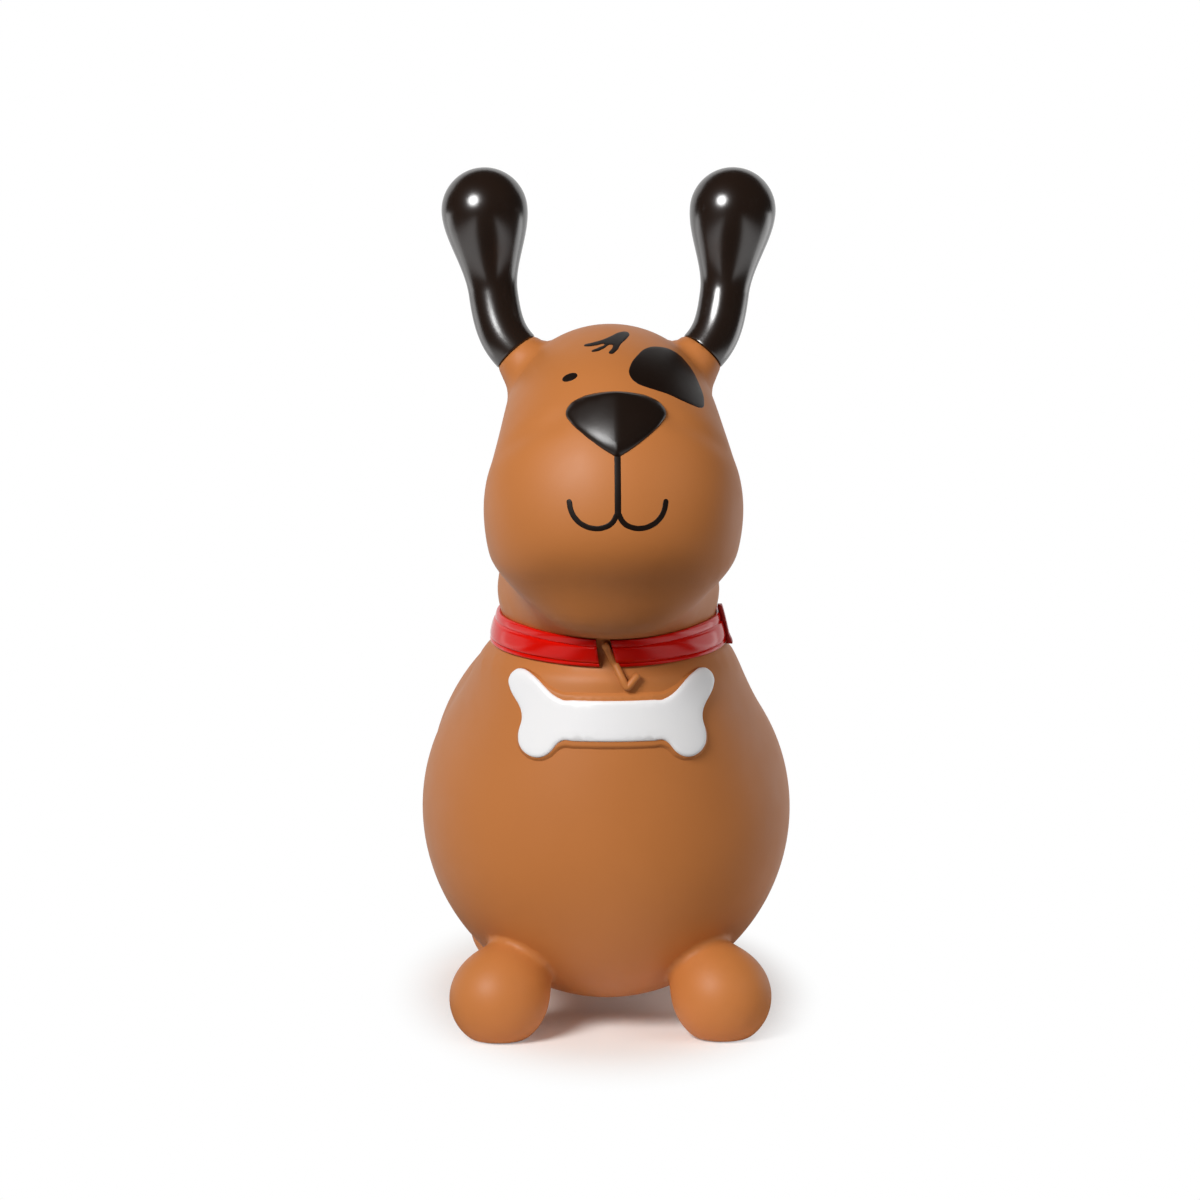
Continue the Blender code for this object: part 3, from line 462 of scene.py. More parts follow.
def ear_grid(side):
    """A tube on a short straight and a cubic bend. Its radius is a grip with a slight waist at the foot, plus
    a smooth step up to the bulb's radius, and then the cosine of a quarter circle's course."""
    end, axis = STUBS[side]
    base = end + EAR_PLAY * axis
    start = base + EAR_STRAIGHT * axis
    bulb, arrive = base + BULB_PLACE * (side, 1, 1), BULB_LEAD * (side, 1, 1)
    stem = cubic(shares(EAR_ROWS), start, start + EAR_LEAD * axis, bulb - arrive, bulb)
    path = np.concatenate([np.linspace(base, start, STRAIGHT_ROWS)[:-1], stem])
    length = np.concatenate([[0], np.cumsum(np.linalg.norm(np.diff(path, axis=0), axis=1))])
    grip = GRIP - GRIP_WAIST * np.exp(-length / (2 * GRIP))
    radii = grip + (BULB - grip) * step(length - length[-1] + SWELL, 0, SWELL)
    foot = np.linspace(0, math.pi / 2, FOOT_ROWS)[:-1]
    tip = np.linspace(0, math.pi / 2, TIP_ROWS)[1:-1]
    foot_path = base + FOOT_ROUNDING * (1 - np.cos(foot))[:, None] * axis
    foot_radii = radii[0] - FOOT_ROUNDING * (1 - np.sin(foot))
    tip_path = bulb + BULB * np.sin(tip)[:, None] * arrive / np.linalg.norm(arrive)
    path = np.concatenate([foot_path, path[1:], tip_path])
    return tube(path, np.concatenate([foot_radii, radii[1:], BULB * np.cos(tip)]), EAR_SIDES, -FRONT)


ears = []
for side, name in ((1, "left"), (-1, "right")):
    ear = place("ear_" + name, grid_mesh(ear_grid(side)))
    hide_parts("ear_handle_" + name)
    ears.append(ear)

# %% [markdown]
# ## The collar
#
# The collar is a flat strap of shiny vinyl with a thin lip on top, a rounded band and a narrow hem. A
# Shrinkwrap would lay a flat strip on the neck, but it would also follow every bulge. Here the strap lies
# straight from the skin at its lower rim to the skin at its upper rim, and over any bulge between them, at
# every angle round the neck: rays measure the skin, and a section of three flattened rolls is carried
# round on them. The two ends stop short of each other at the front, on a slant.

# %% Round the neck
STRAP_RAYS, STRAP_REACH = 5, 0.105
AROUND = np.linspace(-0.1, 2 * np.pi + 0.1, 720)                # angles at which the skin is measured


def strap_ways(angles):
    """Level unit ways round the neck, in the collar's plane: angle 0 is the front, then towards +X."""
    return np.sin(angles)[..., None] * SIDEWAYS - np.cos(angles)[..., None] * COLLAR_BACK


def strap_line(angles):
    """Distance from the collar's axis to the strap's lower and upper rim, for each angle."""
    up = np.linspace(0, 1, STRAP_RAYS)
    starts = COLLAR_MIDDLE + COLLAR_HEIGHT * (up - 0.5)[:, None] * COLLAR_UP
    rays = np.repeat(strap_ways(angles)[:, None], STRAP_RAYS, 1).reshape(-1, 3)
    reach = way_out(skin_gap, np.tile(starts, (len(angles), 1)), rays, STRAP_REACH).reshape(-1, STRAP_RAYS)
    reach = np.minimum(reach, reach.min(1, keepdims=True) + COLLAR_HEIGHT)
    line = reach[:, :1] + (reach[:, -1:] - reach[:, :1]) * up
    bulge = (reach - line).max(1)
    return reach[:, 0] + bulge, reach[:, -1] + bulge


LOWER_RIM, UPPER_RIM = strap_line(AROUND)


def strap_grid(angles, out, height):
    """The strap's section (out, height) at angles that may differ from point to point of the section."""
    low, high = np.interp(angles, AROUND, LOWER_RIM), np.interp(angles, AROUND, UPPER_RIM)
    reach = low + (high - low) * (height / COLLAR_HEIGHT + 0.5) + out
    return COLLAR_MIDDLE + reach[..., None] * strap_ways(angles) + height[..., None] * COLLAR_UP


rim_widths = 2000 * np.array((LOWER_RIM.mean(), UPPER_RIM.mean()))
print("strap's rims:", rim_widths.round(1), "mm wide")

# %% The strap
HALF = COLLAR_HEIGHT / 2
LIP, HEM, SEAM = 0.0052, 0.0027, 0.00015                        # heights of the rolls, half of a seam's
STRAP_FACE, STRAP_BACK = 0.0018, -0.001                         # seams and back, out from the skin
BULGES, POWERS = (0.0008, 0.0017, 0.0008), (0.7, 0.4, 0.7)
STRAP_ROWS, ROLL_POINTS, FRONT_RADIUS = 300, 15, 0.085
START_PLACE, START_SLANT = -0.0020, 0.0046                      # the strap's ends at the front, and their
END_PLACE, END_SLANT = 0.0102, -0.0015                          # slants from top to bottom


def rolls(stations, count):
    """Section of rolls one under the other with narrow seams between them and a flat back. A roll's bulge
    is a power of a sine: the smaller the power, the flatter its face and the steeper its edges."""
    turn = np.linspace(0, np.pi, count)
    out, height = [], []
    for top, bottom, bulge, power in zip(stations, stations[1:], BULGES, POWERS):
        out.append(STRAP_FACE + bulge * np.abs(np.sin(turn)) ** power)
        height.append((top + bottom) / 2 + ((top - bottom) / 2 - SEAM) * np.cos(turn))
    out.append(np.full(2, STRAP_BACK))
    height.append(np.array((stations[-1], stations[0])))
    return np.concatenate(out), np.concatenate(height)


strap_out, strap_height = rolls((HALF, HALF - LIP, HEM - HALF, -HALF), ROLL_POINTS)
slant = (HALF - strap_height) / COLLAR_HEIGHT
strap_start = (START_PLACE + START_SLANT * slant) / FRONT_RADIUS
strap_end = 2 * np.pi - (END_PLACE + END_SLANT * slant) / FRONT_RADIUS
strap_angles = strap_start + (strap_end - strap_start) * shares(STRAP_ROWS)
collar = place("collar_strap", grid_mesh(
    strap_grid(strap_angles, strap_out, np.tile(strap_height, (STRAP_ROWS, 1)))))
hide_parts("collar_band")

# %% [markdown]
# ## The keeper
#
# A narrow strip lies over the strap at the toy's left, where the collar would be joined. It is painted a
# darker red than the strap, as painted shade for the side of the neck that it sits on. A box that is bent
# round the neck would leave gaps over the strap's rolls, so its inner face is the strap's own front, a hair
# farther out. It stands a little above the strap, and its lower end flares.

# %% The keeper
KEEPER_ANGLE, KEEPER_HALF, KEEPER_COLUMNS = math.radians(86), 0.0040, 14
KEEPER_BELOW, KEEPER_ABOVE, KEEPER_PLAY = 0.0010, 0.0040, 0.0002        # past the strap, and off it
KEEPER_FACE, KEEPER_BULGE, KEEPER_ROUND = 0.0046, 0.0007, 0.0041
FLARE, FLARE_FROM = 0.0012, (0.004, 0.006)

tall = np.linspace(-HALF - KEEPER_BELOW, HALF + KEEPER_ABOVE, 40)[:, None]
inner = np.interp(tall, strap_height[-3::-1], strap_out[-3::-1]) + KEEPER_PLAY
outer = KEEPER_FACE + KEEPER_BULGE * np.sqrt(1 - (tall / (HALF + KEEPER_ROUND)) ** 2)
outer = outer + FLARE * step(-tall, *FLARE_FROM)
wide = np.linspace(-KEEPER_HALF, KEEPER_HALF, KEEPER_COLUMNS) / NECK_WIDTH
keeper_out = np.where(np.arange(2 * KEEPER_COLUMNS) < KEEPER_COLUMNS, outer, inner)
keeper_angles = np.broadcast_to(KEEPER_ANGLE + np.concatenate([wide, wide[::-1]]), keeper_out.shape)
keeper = place("collar_keeper_strip", grid_mesh(
    strap_grid(keeper_angles, keeper_out, np.broadcast_to(tall, keeper_out.shape))))
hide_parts("collar_keeper")

# %% [markdown]
# ## Pads that lie on the skin
#
# The nose, the bone with its raised plate and the painted marks are flat outlines laid on the round skin.
# They could be cut into the skin's own mesh, but its points are too far apart for a clean rim. So each is
# a pad: its outline is a smooth closed curve in a view, from the front or from above the brow. Points
# inside it, close rows along the rim and a lattice in the middle, are joined by a Delaunay triangulation,
# which takes any outline. Then all points are thrown onto the skin at once and lifted along its normals by
# a height that depends on how far inside the rim they are. A second sheet under the skin closes the pad.

# %% Smooth outlines
HANDLE = 2.5614                 # a side's length over the reach of its leads, as for automatic curve handles


def smooth_line(keys, count, closed=True):
    """A smooth line through key points: a cubic bend between each two, led along the mean of their sides."""
    keys = np.asarray(keys, float)
    ahead = np.roll(keys, -1, 0) - keys
    if not closed:
        ahead[-1] = ahead[-2]
    length = np.linalg.norm(ahead, axis=1, keepdims=True)
    sides = ahead / length
    before = np.roll(sides, 1, 0)
    if not closed:
        before[0] = sides[0]
    lead = unit(sides + before)
    start, end = keys[:, None], np.roll(keys, -1, 0)[:, None]
    first = start + (lead * length / HANDLE)[:, None]
    second = end - (np.roll(lead, -1, 0) * length / HANDLE)[:, None]
    line = cubic((np.arange(count) / count)[None, :, None], start, first, second, end)
    return line.reshape(-1, 2) if closed else np.concatenate([line[:-1].reshape(-1, 2), keys[-1:]])


def brush_stroke(keys, width, count=10):
    """Outline of a brush stroke: both sides of a smooth line, half a width away, and two round ends."""
    line = smooth_line(keys, count, closed=False)
    along = unit(np.gradient(line, axis=0))
    side = np.stack([-along[:, 1], along[:, 0]], -1) * width / 2
    turn = np.linspace(0, np.pi, 9)[1:-1, None]
    far = line[-1] + np.cos(turn) * side[-1] + np.sin(turn) * along[-1] * width / 2
    near = line[0] - np.cos(turn) * side[0] - np.sin(turn) * along[0] * width / 2
    return np.concatenate([line + side, far, (line - side)[::-1], near])


square = np.array(((0, 0), (1, 0), (1, 1), (0, 1)))
print("a square of four keys gets round with", len(smooth_line(square, 8)), "points")

# %% Inside an outline
def inset_of(points, outline):
    """Distance from points to an outline, positive inside, by the nearest of its sides and by crossings."""
    along = np.roll(outline, -1, 0) - outline
    rel = points[:, None] - outline
    share = np.clip((rel * along).sum(-1) / (along ** 2).sum(-1), 0, 1)
    distance = np.linalg.norm(rel - share[..., None] * along, axis=-1).min(1)
    over = rel[..., 1] < 0
    rise = np.where(along[:, 1] == 0, 1e-12, along[:, 1])
    crossing = (over != np.roll(over, -1, 1)) & (rel[..., 0] < rel[..., 1] / rise * along[:, 0])
    return np.where(crossing.sum(1) % 2 == 1, distance, -distance)


print("the middle of a unit square lies", inset_of(np.array([(0.5, 0.5)]), square)[0], "inside it")

# %% Views of the skin
UP = np.array((0.0, 0.0, 1.0))
BROW = math.sqrt(0.5)
VIEWS = {                       # way of looking, up in the view, how deep the rays start
    "face": (-FRONT, UP, -0.12),
    "chest": (-FRONT, UP, -0.06),
    "brow": (np.array((0, BROW, -BROW)), np.array((0, BROW, BROW)), -0.335),
}
VIEW_REACH = 0.16


def on_skin(view, flat):
    """Points on the skin that are seen at flat places of a view."""
    look, up, depth = VIEWS[view]
    starts = flat[:, :1] * SIDEWAYS + flat[:, 1:] * up + depth * look
    return starts - way_out(skin_gap, starts, -look[None], VIEW_REACH)[:, None] * look


print("skin before the chest's middle:", on_skin("chest", MIDDLES[:1, ::2]).round(4).tolist())

# %% Pads
RIM_SLACK, LATTICE_SLACK = 0.9, 0.4     # shares of a row's inset and of the pitch that points keep clear
PROBE, MERGED, ON_RIM = 1e-5, 1e-7, 1e-6        # a step inwards, points taken as one, insets taken as rim
PAD_SINK = 0.001                        # how deep a pad's lower sheet lies


def pad_net(outline, pitch, rims):
    """Flat points and triangles inside an outline: rows at the rims' insets, and a lattice in the middle."""
    low, high = np.floor(outline.min(0) / pitch), np.ceil(outline.max(0) / pitch) + 1
    lattice = np.meshgrid(*[np.arange(a, b) * pitch for a, b in zip(low, high)])
    lattice = np.stack(lattice, -1).reshape(-1, 2)
    along = unit(np.roll(outline, -1, 0) - np.roll(outline, 1, 0))
    inward = np.stack([-along[:, 1], along[:, 0]], -1)
    inward = np.sign(np.median(inset_of(outline + PROBE * inward, outline))) * inward
    rows = np.concatenate([outline + inward * rim for rim in rims])
    rows = rows[inset_of(rows, outline) > RIM_SLACK * np.repeat(rims, len(outline))]
    middle = lattice[inset_of(lattice, outline) > rims[-1] + LATTICE_SLACK * pitch]
    index = np.arange(len(outline))
    sides = np.stack([index, np.roll(index, -1)], -1).tolist()
    net = delaunay_2d_cdt(np.concatenate([outline, rows, middle]).tolist(), sides, [], 1, MERGED)
    return np.array(net[0], dtype=float), np.array(net[2])


def pad_mesh(outline, view, rise, sink, pitch, rims):
    """A pad on the skin: rise gives its height from the inset and the place, sink how deep it goes."""
    flat, faces = pad_net(outline, pitch, rims)
    inset = np.maximum(inset_of(flat, outline), 0)
    rim = inset < ON_RIM
    base = on_skin(view, flat)
    normals = outward(skin_gap, base)
    top = base + normals * rise(inset, flat)[:, None]
    below = np.where(rim, np.arange(len(flat)), len(flat) + np.cumsum(~rim) - 1)
    mesh = bpy.data.meshes.new("pad")
    points = np.concatenate([top, (base - sink * normals)[~rim]])
    mesh.from_pydata(points.tolist(), [], faces.tolist() + below[faces][:, ::-1].tolist())
    return mesh


def round_rim(inset, width):
    """Rounded rim of a pad: a quarter circle from 0 at the rim to 1 at a width inside it."""
    return np.sqrt(1 - np.clip(1 - inset / width, 0, 1) ** 2)


print("half way over its rim a pad has", round_rim(0.5, 1.0).round(3), "of its height")

# %% [markdown]
# ## The nose
#
# The nose is a glossy rounded triangle with a soft ridge down its middle, which keeps the lamp's glow to
# one side. It could be modelled by hand from a few faces and subdivided, but as a pad it fits the skin by
# itself. Its height is a quarter circle over the rim plus a tent across its width, and it leans out
# towards its top.

# %% The nose
NOSE_Z = 0.3952
NOSE_THICK, NOSE_ROUNDING = 0.0032, 0.005
RIDGE, RIDGE_HALF, RIDGE_BLUNT, RIDGE_FADE = 0.0036, 0.024, 0.0006, 0.006
NOSE_LEAN = 0.15
NOSE_SUNK = 0.0004              # the rim lies this deep in the skin
NOSE_PITCH, NOSE_RIMS = 0.0020, (0.0004, 0.001, 0.002, 0.0034, 0.0052)


def mirrored(right):
    """A closed outline from its right half, which starts and ends on the middle line."""
    right = np.asarray(right, float)
    return np.concatenate([right, right[-2:0:-1] * (-1, 1)])


def nose_rise(inset, flat):
    """Height of the nose over the skin: a rounded rim, a ridge down the middle and a lean to the top."""
    ridge = RIDGE * np.clip(1 - np.hypot(flat[:, 0], RIDGE_BLUNT) / RIDGE_HALF, 0, 1)
    lean = NOSE_LEAN * (flat[:, 1] - NOSE_Z)
    rounded = NOSE_THICK * round_rim(inset, NOSE_ROUNDING)
    return rounded + (ridge + lean) * step(inset, 0, RIDGE_FADE) - NOSE_SUNK


nose_top, nose_corner, nose_tip = np.array(((0, 0.0134), (0.0297, 0), (0, -0.0229))) + (0, NOSE_Z)
upper_side = cubic(shares(5), nose_top, nose_top + (0.0164, 0), nose_corner + (0, 0.0081), nose_corner)
lower_side = cubic(shares(6), nose_corner, nose_corner - (0, 0.0046), nose_tip + (0.0036, 0), nose_tip)
nose_line = smooth_line(mirrored(np.concatenate([upper_side[:-1], lower_side])), 8)
nose = place("nose", pad_mesh(nose_line, "face", nose_rise, PAD_SINK, NOSE_PITCH, NOSE_RIMS))
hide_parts("nose_pad")

# %% [markdown]
# ## The bone tag and its plate
#
# The white bone lies on a plate that is moulded into the skin, a little larger all round with a sloping
# edge. The plate could be an inset of the bone's faces, with one margin all round. Both come from one
# outline of arcs instead, grown for the plate by a margin that is wide along the bar and narrow at the
# knobs.

# %% The bone and the plate
BONE_Z = 0.2061
BAR_HALF, BAR_IN, BAR_OUT = 0.0123, 0.024, 0.030                # half height, and where the bar is straight
UPPER_KNOB, UPPER_RADIUS = (0.0536, 0.0200), 0.0078
LOWER_KNOB, LOWER_RADIUS = (0.0458, -0.0132), 0.0104
WAIST_X, WAIST_Z = 0.0539, 0.0020                               # between the two knobs
PLATE_MARGINS = (0.0055, 0.0012, 0.0030)                        # at the bar, the upper and the lower knobs
PLATE_TOP, PLATE_SUNK, PLATE_SLOPE = 0.0019, 0.0003, 0.0030     # off the skin, into it, width of its edge
BONE_THICK, BONE_ROUNDING, BONE_PITCH = 0.0017, 0.0030, 0.0030
PLATE_RIMS = (0.0006, 0.0012, 0.0019, 0.0026, 0.0034)
BONE_RIMS = (0.0002, 0.0006, 0.0012, 0.002, 0.003)


def arc(middle, radius, start, end, count):
    """Points on a circle between two angles in degrees."""
    angle = np.radians(np.linspace(start, end, count))
    return np.array(middle) + radius * np.stack([np.cos(angle), np.sin(angle)], -1)


def bone_line(bar=0.0, upper=0.0, lower=0.0):
    """A straight bar with an upper and a lower knob at each end, each grown by its own margin."""
    right = np.concatenate([
        [(BAR_IN, BAR_HALF + bar), (BAR_OUT, BAR_HALF + bar)],
        arc(UPPER_KNOB, UPPER_RADIUS + upper, 125, -15, 5),
        [(WAIST_X + upper, WAIST_Z)],
        arc(LOWER_KNOB, LOWER_RADIUS + lower, 5, -125, 5),
        [(BAR_OUT, -BAR_HALF - bar), (BAR_IN, -BAR_HALF - bar)],
    ])
    keys = np.concatenate([right, right[::-1] * (-1, 1)])
    return smooth_line(keys + (0, BONE_Z), 8)


def plate_rise(inset, flat):
    """Height of the plate: a smooth step over the width of its edge, from a little under the skin."""
    return (PLATE_TOP + PLATE_SUNK) * step(inset, 0, PLATE_SLOPE) - PLATE_SUNK


def bone_rise(inset, flat):
    """Height of the bone: the plate's, and a quarter circle over its rim on top of it."""
    return PLATE_TOP + BONE_THICK * round_rim(inset, BONE_ROUNDING)


plate = place("chest_plate", pad_mesh(
    bone_line(*PLATE_MARGINS), "chest", plate_rise, PAD_SINK, BONE_PITCH, PLATE_RIMS))
bone = place("bone", pad_mesh(bone_line(), "chest", bone_rise, PAD_SINK, BONE_PITCH, BONE_RIMS))
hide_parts("bone_tag")

# %% [markdown]
# ## Painted marks
#
# One eye, the patch over the other, a tuft of hair and the mouth are sprayed on through a mask. Paint
# could be a mask in the skin's material, but a mask is only as sharp as its picture. A film a quarter of a
# millimetre thick with a rounded rim stands for the paint, laid on like the other pads. The marks on top
# of the head are drawn in the view from above the brow, where the skin faces the viewer. Their key points
# are in millimetres.

# %% Marks
FILM, FILM_ROUNDING, FILM_SUNK, FILM_SINK = 0.00030, 0.0005, 0.00008, 0.0004
FILM_RIMS = (0.00015, 0.0005)
MM = 1000
EYE_PLACE, EYE_WIDE, EYE_TALL = np.array(((-26.6, 176.8), (4.5, 0.9), (-0.9, 3.7)))     # middle, half axes
MOUTH_WIDTH, SMILE_WIDTH = 0.0039, 0.0033


def film(inset, flat):
    """Height of the paint: a quarter circle over the rim, which lies a little under the skin."""
    return FILM * round_rim(inset, FILM_ROUNDING) - FILM_SUNK


patch = smooth_line(np.array([
    (27.6, 213.7), (38.2, 217.2), (46.0, 209.6), (51.9, 192.7), (54.2, 174.8), (51.8, 165.0), (44.4, 162.0),
    (30.4, 163.0), (18.4, 164.6), (12.2, 167.4), (8.6, 174.5), (9.6, 183.7), (14.2, 195.6), (20.2, 206.8),
]) / MM, 8)
tuft = smooth_line(np.array([
    (9.0, 227.5), (4.9, 225.9), (-0.4, 219.5), (-6.6, 213.8), (-12.2, 211.4), (-17.4, 209.4), (-15.4, 207.0),
    (-9.8, 206.8), (-5.4, 207.6), (-9.4, 203.4), (-13.2, 199.9), (-11.2, 198.9), (-6.2, 201.3), (-0.9, 206.4),
    (-0.4, 203.6), (-2.1, 195.1), (1.8, 198.8), (4.6, 207.0), (9.6, 218.7), (10.6, 224.5),
]) / MM, 5)
eye_turn = np.linspace(0, 2 * np.pi, 40, endpoint=False)[:, None]
eye = (EYE_PLACE + EYE_WIDE * np.cos(eye_turn) + EYE_TALL * np.sin(eye_turn)) / MM
mouth_line = brush_stroke(np.array([(0, 373.5), (0, 361), (0, 350), (0, 338.6)]) / MM, MOUTH_WIDTH)
smile = np.array([
    (0.4, 339.6), (3.4, 334.4), (8.2, 331.6), (13.9, 331.0), (20.2, 332.9), (24.7, 336.6), (27.3, 341.3),
    (28.3, 346.3)]) / MM
marks = [("eye_patch", patch, "brow", 0.0025), ("hair_tuft", tuft, "brow", 0.0015),
         ("eye_dot", eye, "brow", 0.0012), ("mouth_line", mouth_line, "face", 0.0012),
         ("mouth_left", brush_stroke(smile, SMILE_WIDTH), "face", 0.0011),
         ("mouth_right", brush_stroke(smile * (-1, 1), SMILE_WIDTH), "face", 0.0011)]
painted = []
for name, outline, view, pitch in marks:
    mark = place(name, pad_mesh(outline, view, film, FILM_SINK, pitch, FILM_RIMS))
    painted.append(mark)

# %% [markdown]
# ## The tag's ring
#
# A thin brown rod runs down through the opening of the collar, makes a point over the bone and turns up
# again. A curve drawn by eye would dip into the skin somewhere. So the path is measured: it lies in front
# of the skin by the rod's own radius, over the rod's whole width, so that it clears every bulge, and a
# running mean rounds the turn.

# %% The ring
ROD, ROD_PLAY, ROD_ROWS, ROD_END = 0.0023, 0.0003, 90, 5        # radius, off the skin, rows, rows of an end
ROD_SIDES, ROD_BLUNT, MEAN_ROWS = 20, 0.96, 15                  # a blunt end doesn't close to a point
ring_keys = np.array(((-0.0056, 0.2543), (0.0082, 0.2262), (0.0155, 0.2350)))
lengths = np.concatenate([[0], np.cumsum(np.linalg.norm(np.diff(ring_keys, axis=0), axis=1))])
stops = np.linspace(0, lengths[-1], ROD_ROWS)
route = np.stack([np.interp(stops, lengths, ring_keys[:, k]) for k in range(2)], -1)
offsets = np.stack(np.meshgrid((-ROD, 0, ROD), (-ROD, 0, ROD)), -1).reshape(-1, 2)
spots = on_skin("chest", (route[:, None] + offsets).reshape(-1, 2))
depth = spots[:, 1].reshape(ROD_ROWS, -1).min(1) - ROD - ROD_PLAY
ring_path = np.stack([route[:, 0], depth, route[:, 1]], -1)
kernel = np.hanning(MEAN_ROWS) / np.hanning(MEAN_ROWS).sum()
padded = np.pad(ring_path, ((MEAN_ROWS // 2, MEAN_ROWS // 2), (0, 0)), "edge")
ring_path = np.stack([np.convolve(padded[:, k], kernel, "valid") for k in range(3)], -1)
from_end = np.minimum(np.arange(ROD_ROWS), np.arange(ROD_ROWS)[::-1]) / ROD_END
ring_radii = ROD * np.sqrt(1 - np.clip(1 - from_end, 0, ROD_BLUNT) ** 2)
ring = place("tag_ring_rod", grid_mesh(tube(ring_path, ring_radii, ROD_SIDES, FRONT)))
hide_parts("tag_ring")

# %% [markdown]
# ## The valve
#
# Behind, a flanged sleeve is let into the skin and a plug with a round head closes it. Both are turned
# parts, for which Blender has a Screw modifier. A grid of radius and height that is carried round the axis
# gives the same, with the middle closed. The plug is its own body, because it is pulled out to let the air
# in.

# %% The valve
SEAT_ROUNDING = 0.0006
LONGEST_BEND = 0.45             # share of a side that a rounded corner may take


def turned(profile, count=72):
    """Grid of a profile of (radius, height) carried round the valve's axis, which points backwards."""
    angle = np.linspace(0, 2 * np.pi, count, endpoint=False)[None, :]
    radius, height = profile[:, :1], profile[:, 1:]
    return VALVE + np.stack([radius * np.cos(angle), height + 0 * angle, radius * np.sin(angle)], -1)


def eased(corners, radius, count=6):
    """A closed profile with rounded corners: each corner becomes a short quadratic bend."""
    corners = np.asarray(corners, float)
    sides = [np.roll(corners, turn, 0) - corners for turn in (1, -1)]
    reaches = [np.minimum(radius / np.linalg.norm(side, axis=1, keepdims=True), LONGEST_BEND)
               for side in sides]
    start, end = [corners + side * reach for side, reach in zip(sides, reaches)]
    t = np.linspace(0, 1, count)[None, :, None]
    bends = start[:, None] * (1 - t) ** 2 + 2 * corners[:, None] * t * (1 - t) + end[:, None] * t * t
    return bends.reshape(-1, 2)


seat_line = eased([
    (0.0120, 0.0003), (0.0120, -0.0014), (0.0075, -0.0014),                             # flange
    (0.0075, -0.0114), (0.0045, -0.0114), (0.0045, 0.0003)], SEAT_ROUNDING)             # sleeve
seat = place("valve_sleeve", grid_mesh(turned(seat_line), closed=True))
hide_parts("valve_seat")
plug_line = np.concatenate([
    [(0.0003, 0.0025), (0.0040, 0.00245), (0.0065, 0.0023)],                            # head
    arc((0.0074, 0.0012), 0.0011, 80, -10, 8),
    [(0.0083, 0.0004), (0.0038, 0.0004), (0.0037, 0.0002)],
    [(0.0037, -0.0070), (0.0040, -0.0078), (0.0042, -0.0084), (0.0042, -0.0095)],       # stem
    [(0.0036, -0.0108), (0.0027, -0.0119), (0.0003, -0.0120)]])
plug = place("valve_stopper", grid_mesh(turned(plug_line)), body="plug")
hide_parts("valve_plug")

# %% [markdown]
# ## Shader maths as expressions
#
# A material is a small net of nodes, which is usually drawn by hand in the node editor. To write it as
# plain sums instead, a class wraps an output socket, and its operators add Math nodes. One method makes
# any other node: its settings come first, then its inputs.

# %% The socket class
class Shade:
    """An output socket of a material, for use in expressions."""

    def __init__(self, tree, socket=None):
        self.tree = tree
        self.socket = socket

    def node(self, kind, settings, inputs, output=0):
        """Add a node, set its settings and then its inputs, which are values or other sockets."""
        made = self.tree.nodes.new(kind)
        for key, value in settings.items():
            setattr(made, key, value)
        for key, value in inputs.items():
            if isinstance(value, Shade):
                self.tree.links.new(value.socket, made.inputs[key])
            else:
                made.inputs[key].default_value = value
        return Shade(self.tree, made.outputs[output] if made.outputs else None)

    def maths(self, operation, one, other):
        """A Math node on two values or sockets."""
        return self.node('ShaderNodeMath', {"operation": operation}, {0: one, 1: other})

    def __add__(self, other):
        return self.maths('ADD', self, other)

    def __radd__(self, other):
        return self.maths('ADD', other, self)

    def __sub__(self, other):
        return self.maths('SUBTRACT', self, other)

    def __rsub__(self, other):
        return self.maths('SUBTRACT', other, self)

    def __mul__(self, other):
        return self.maths('MULTIPLY', self, other)

    def __rmul__(self, other):
        return self.maths('MULTIPLY', other, self)


print("a socket adds, subtracts and multiplies from both sides")

# %% [markdown]
# ## One recipe for all finishes
#
# Every surface of the toy is moulded vinyl or paint, and differs only in colour, gloss and grain. Painted
# picture maps could show that, but procedural noise needs no files and is as fine as the picture asks. So
# one recipe takes two tones that clouds blend, a roughness that wear adds to, and the fine orange peel of
# the mould as bump.

# %% The recipe
def noise(spot, scale):
    """Cloudy noise from 0 to 1, with about as many blobs in a metre as its scale."""
    return spot.node('ShaderNodeTexNoise', {}, {"Vector": spot, "Scale": scale, "Detail": 2.0}, "Fac")


def blend(factor, one, other):
    """A colour between two colours."""
    return factor.node('ShaderNodeMix', {"data_type": 'RGBA'}, {0: factor, 6: one, 7: other}, 2)


def linear(red, green, blue):
    """A colour as seen on a screen, 0 to 255, in linear light."""
    share = np.array((red, green, blue)) / 255
    light = np.where(share <= 0.04045, share / 12.92, ((share + 0.055) / 1.055) ** 2.4)
    return (*light.tolist(), 1.0)


def finish(name, tones, clouds, rough, wear, peel, shine, over=None):
    """A material: two tones blended by clouds of one scale, a roughness with a share of noise of another,
    bump of (strength, depth, scale), the level of mirror light, and a shader that may go over it."""
    material = bpy.data.materials.new(name)
    material.use_nodes = True
    tree = material.node_tree
    tree.nodes.clear()
    spot = Shade(tree).node('ShaderNodeTexCoord', {}, {}, "Object")
    strength, depth, grain = peel
    bump = spot.node('ShaderNodeBump', {}, {
        "Strength": strength, "Distance": depth, "Height": noise(spot, grain)})
    shader = spot.node('ShaderNodeBsdfPrincipled', {}, {
        "Base Color": blend(noise(spot, clouds), linear(*tones[0]), linear(*tones[1])),
        "Roughness": rough[0] + rough[1] * noise(spot, wear),
        "Normal": bump,
        "Specular IOR Level": shine})
    if over:
        shader = over(spot, shader)
    spot.node('ShaderNodeOutputMaterial', {}, {"Surface": shader})
    return material


print("mid grey in linear light:", round(linear(128, 128, 128)[0], 3))
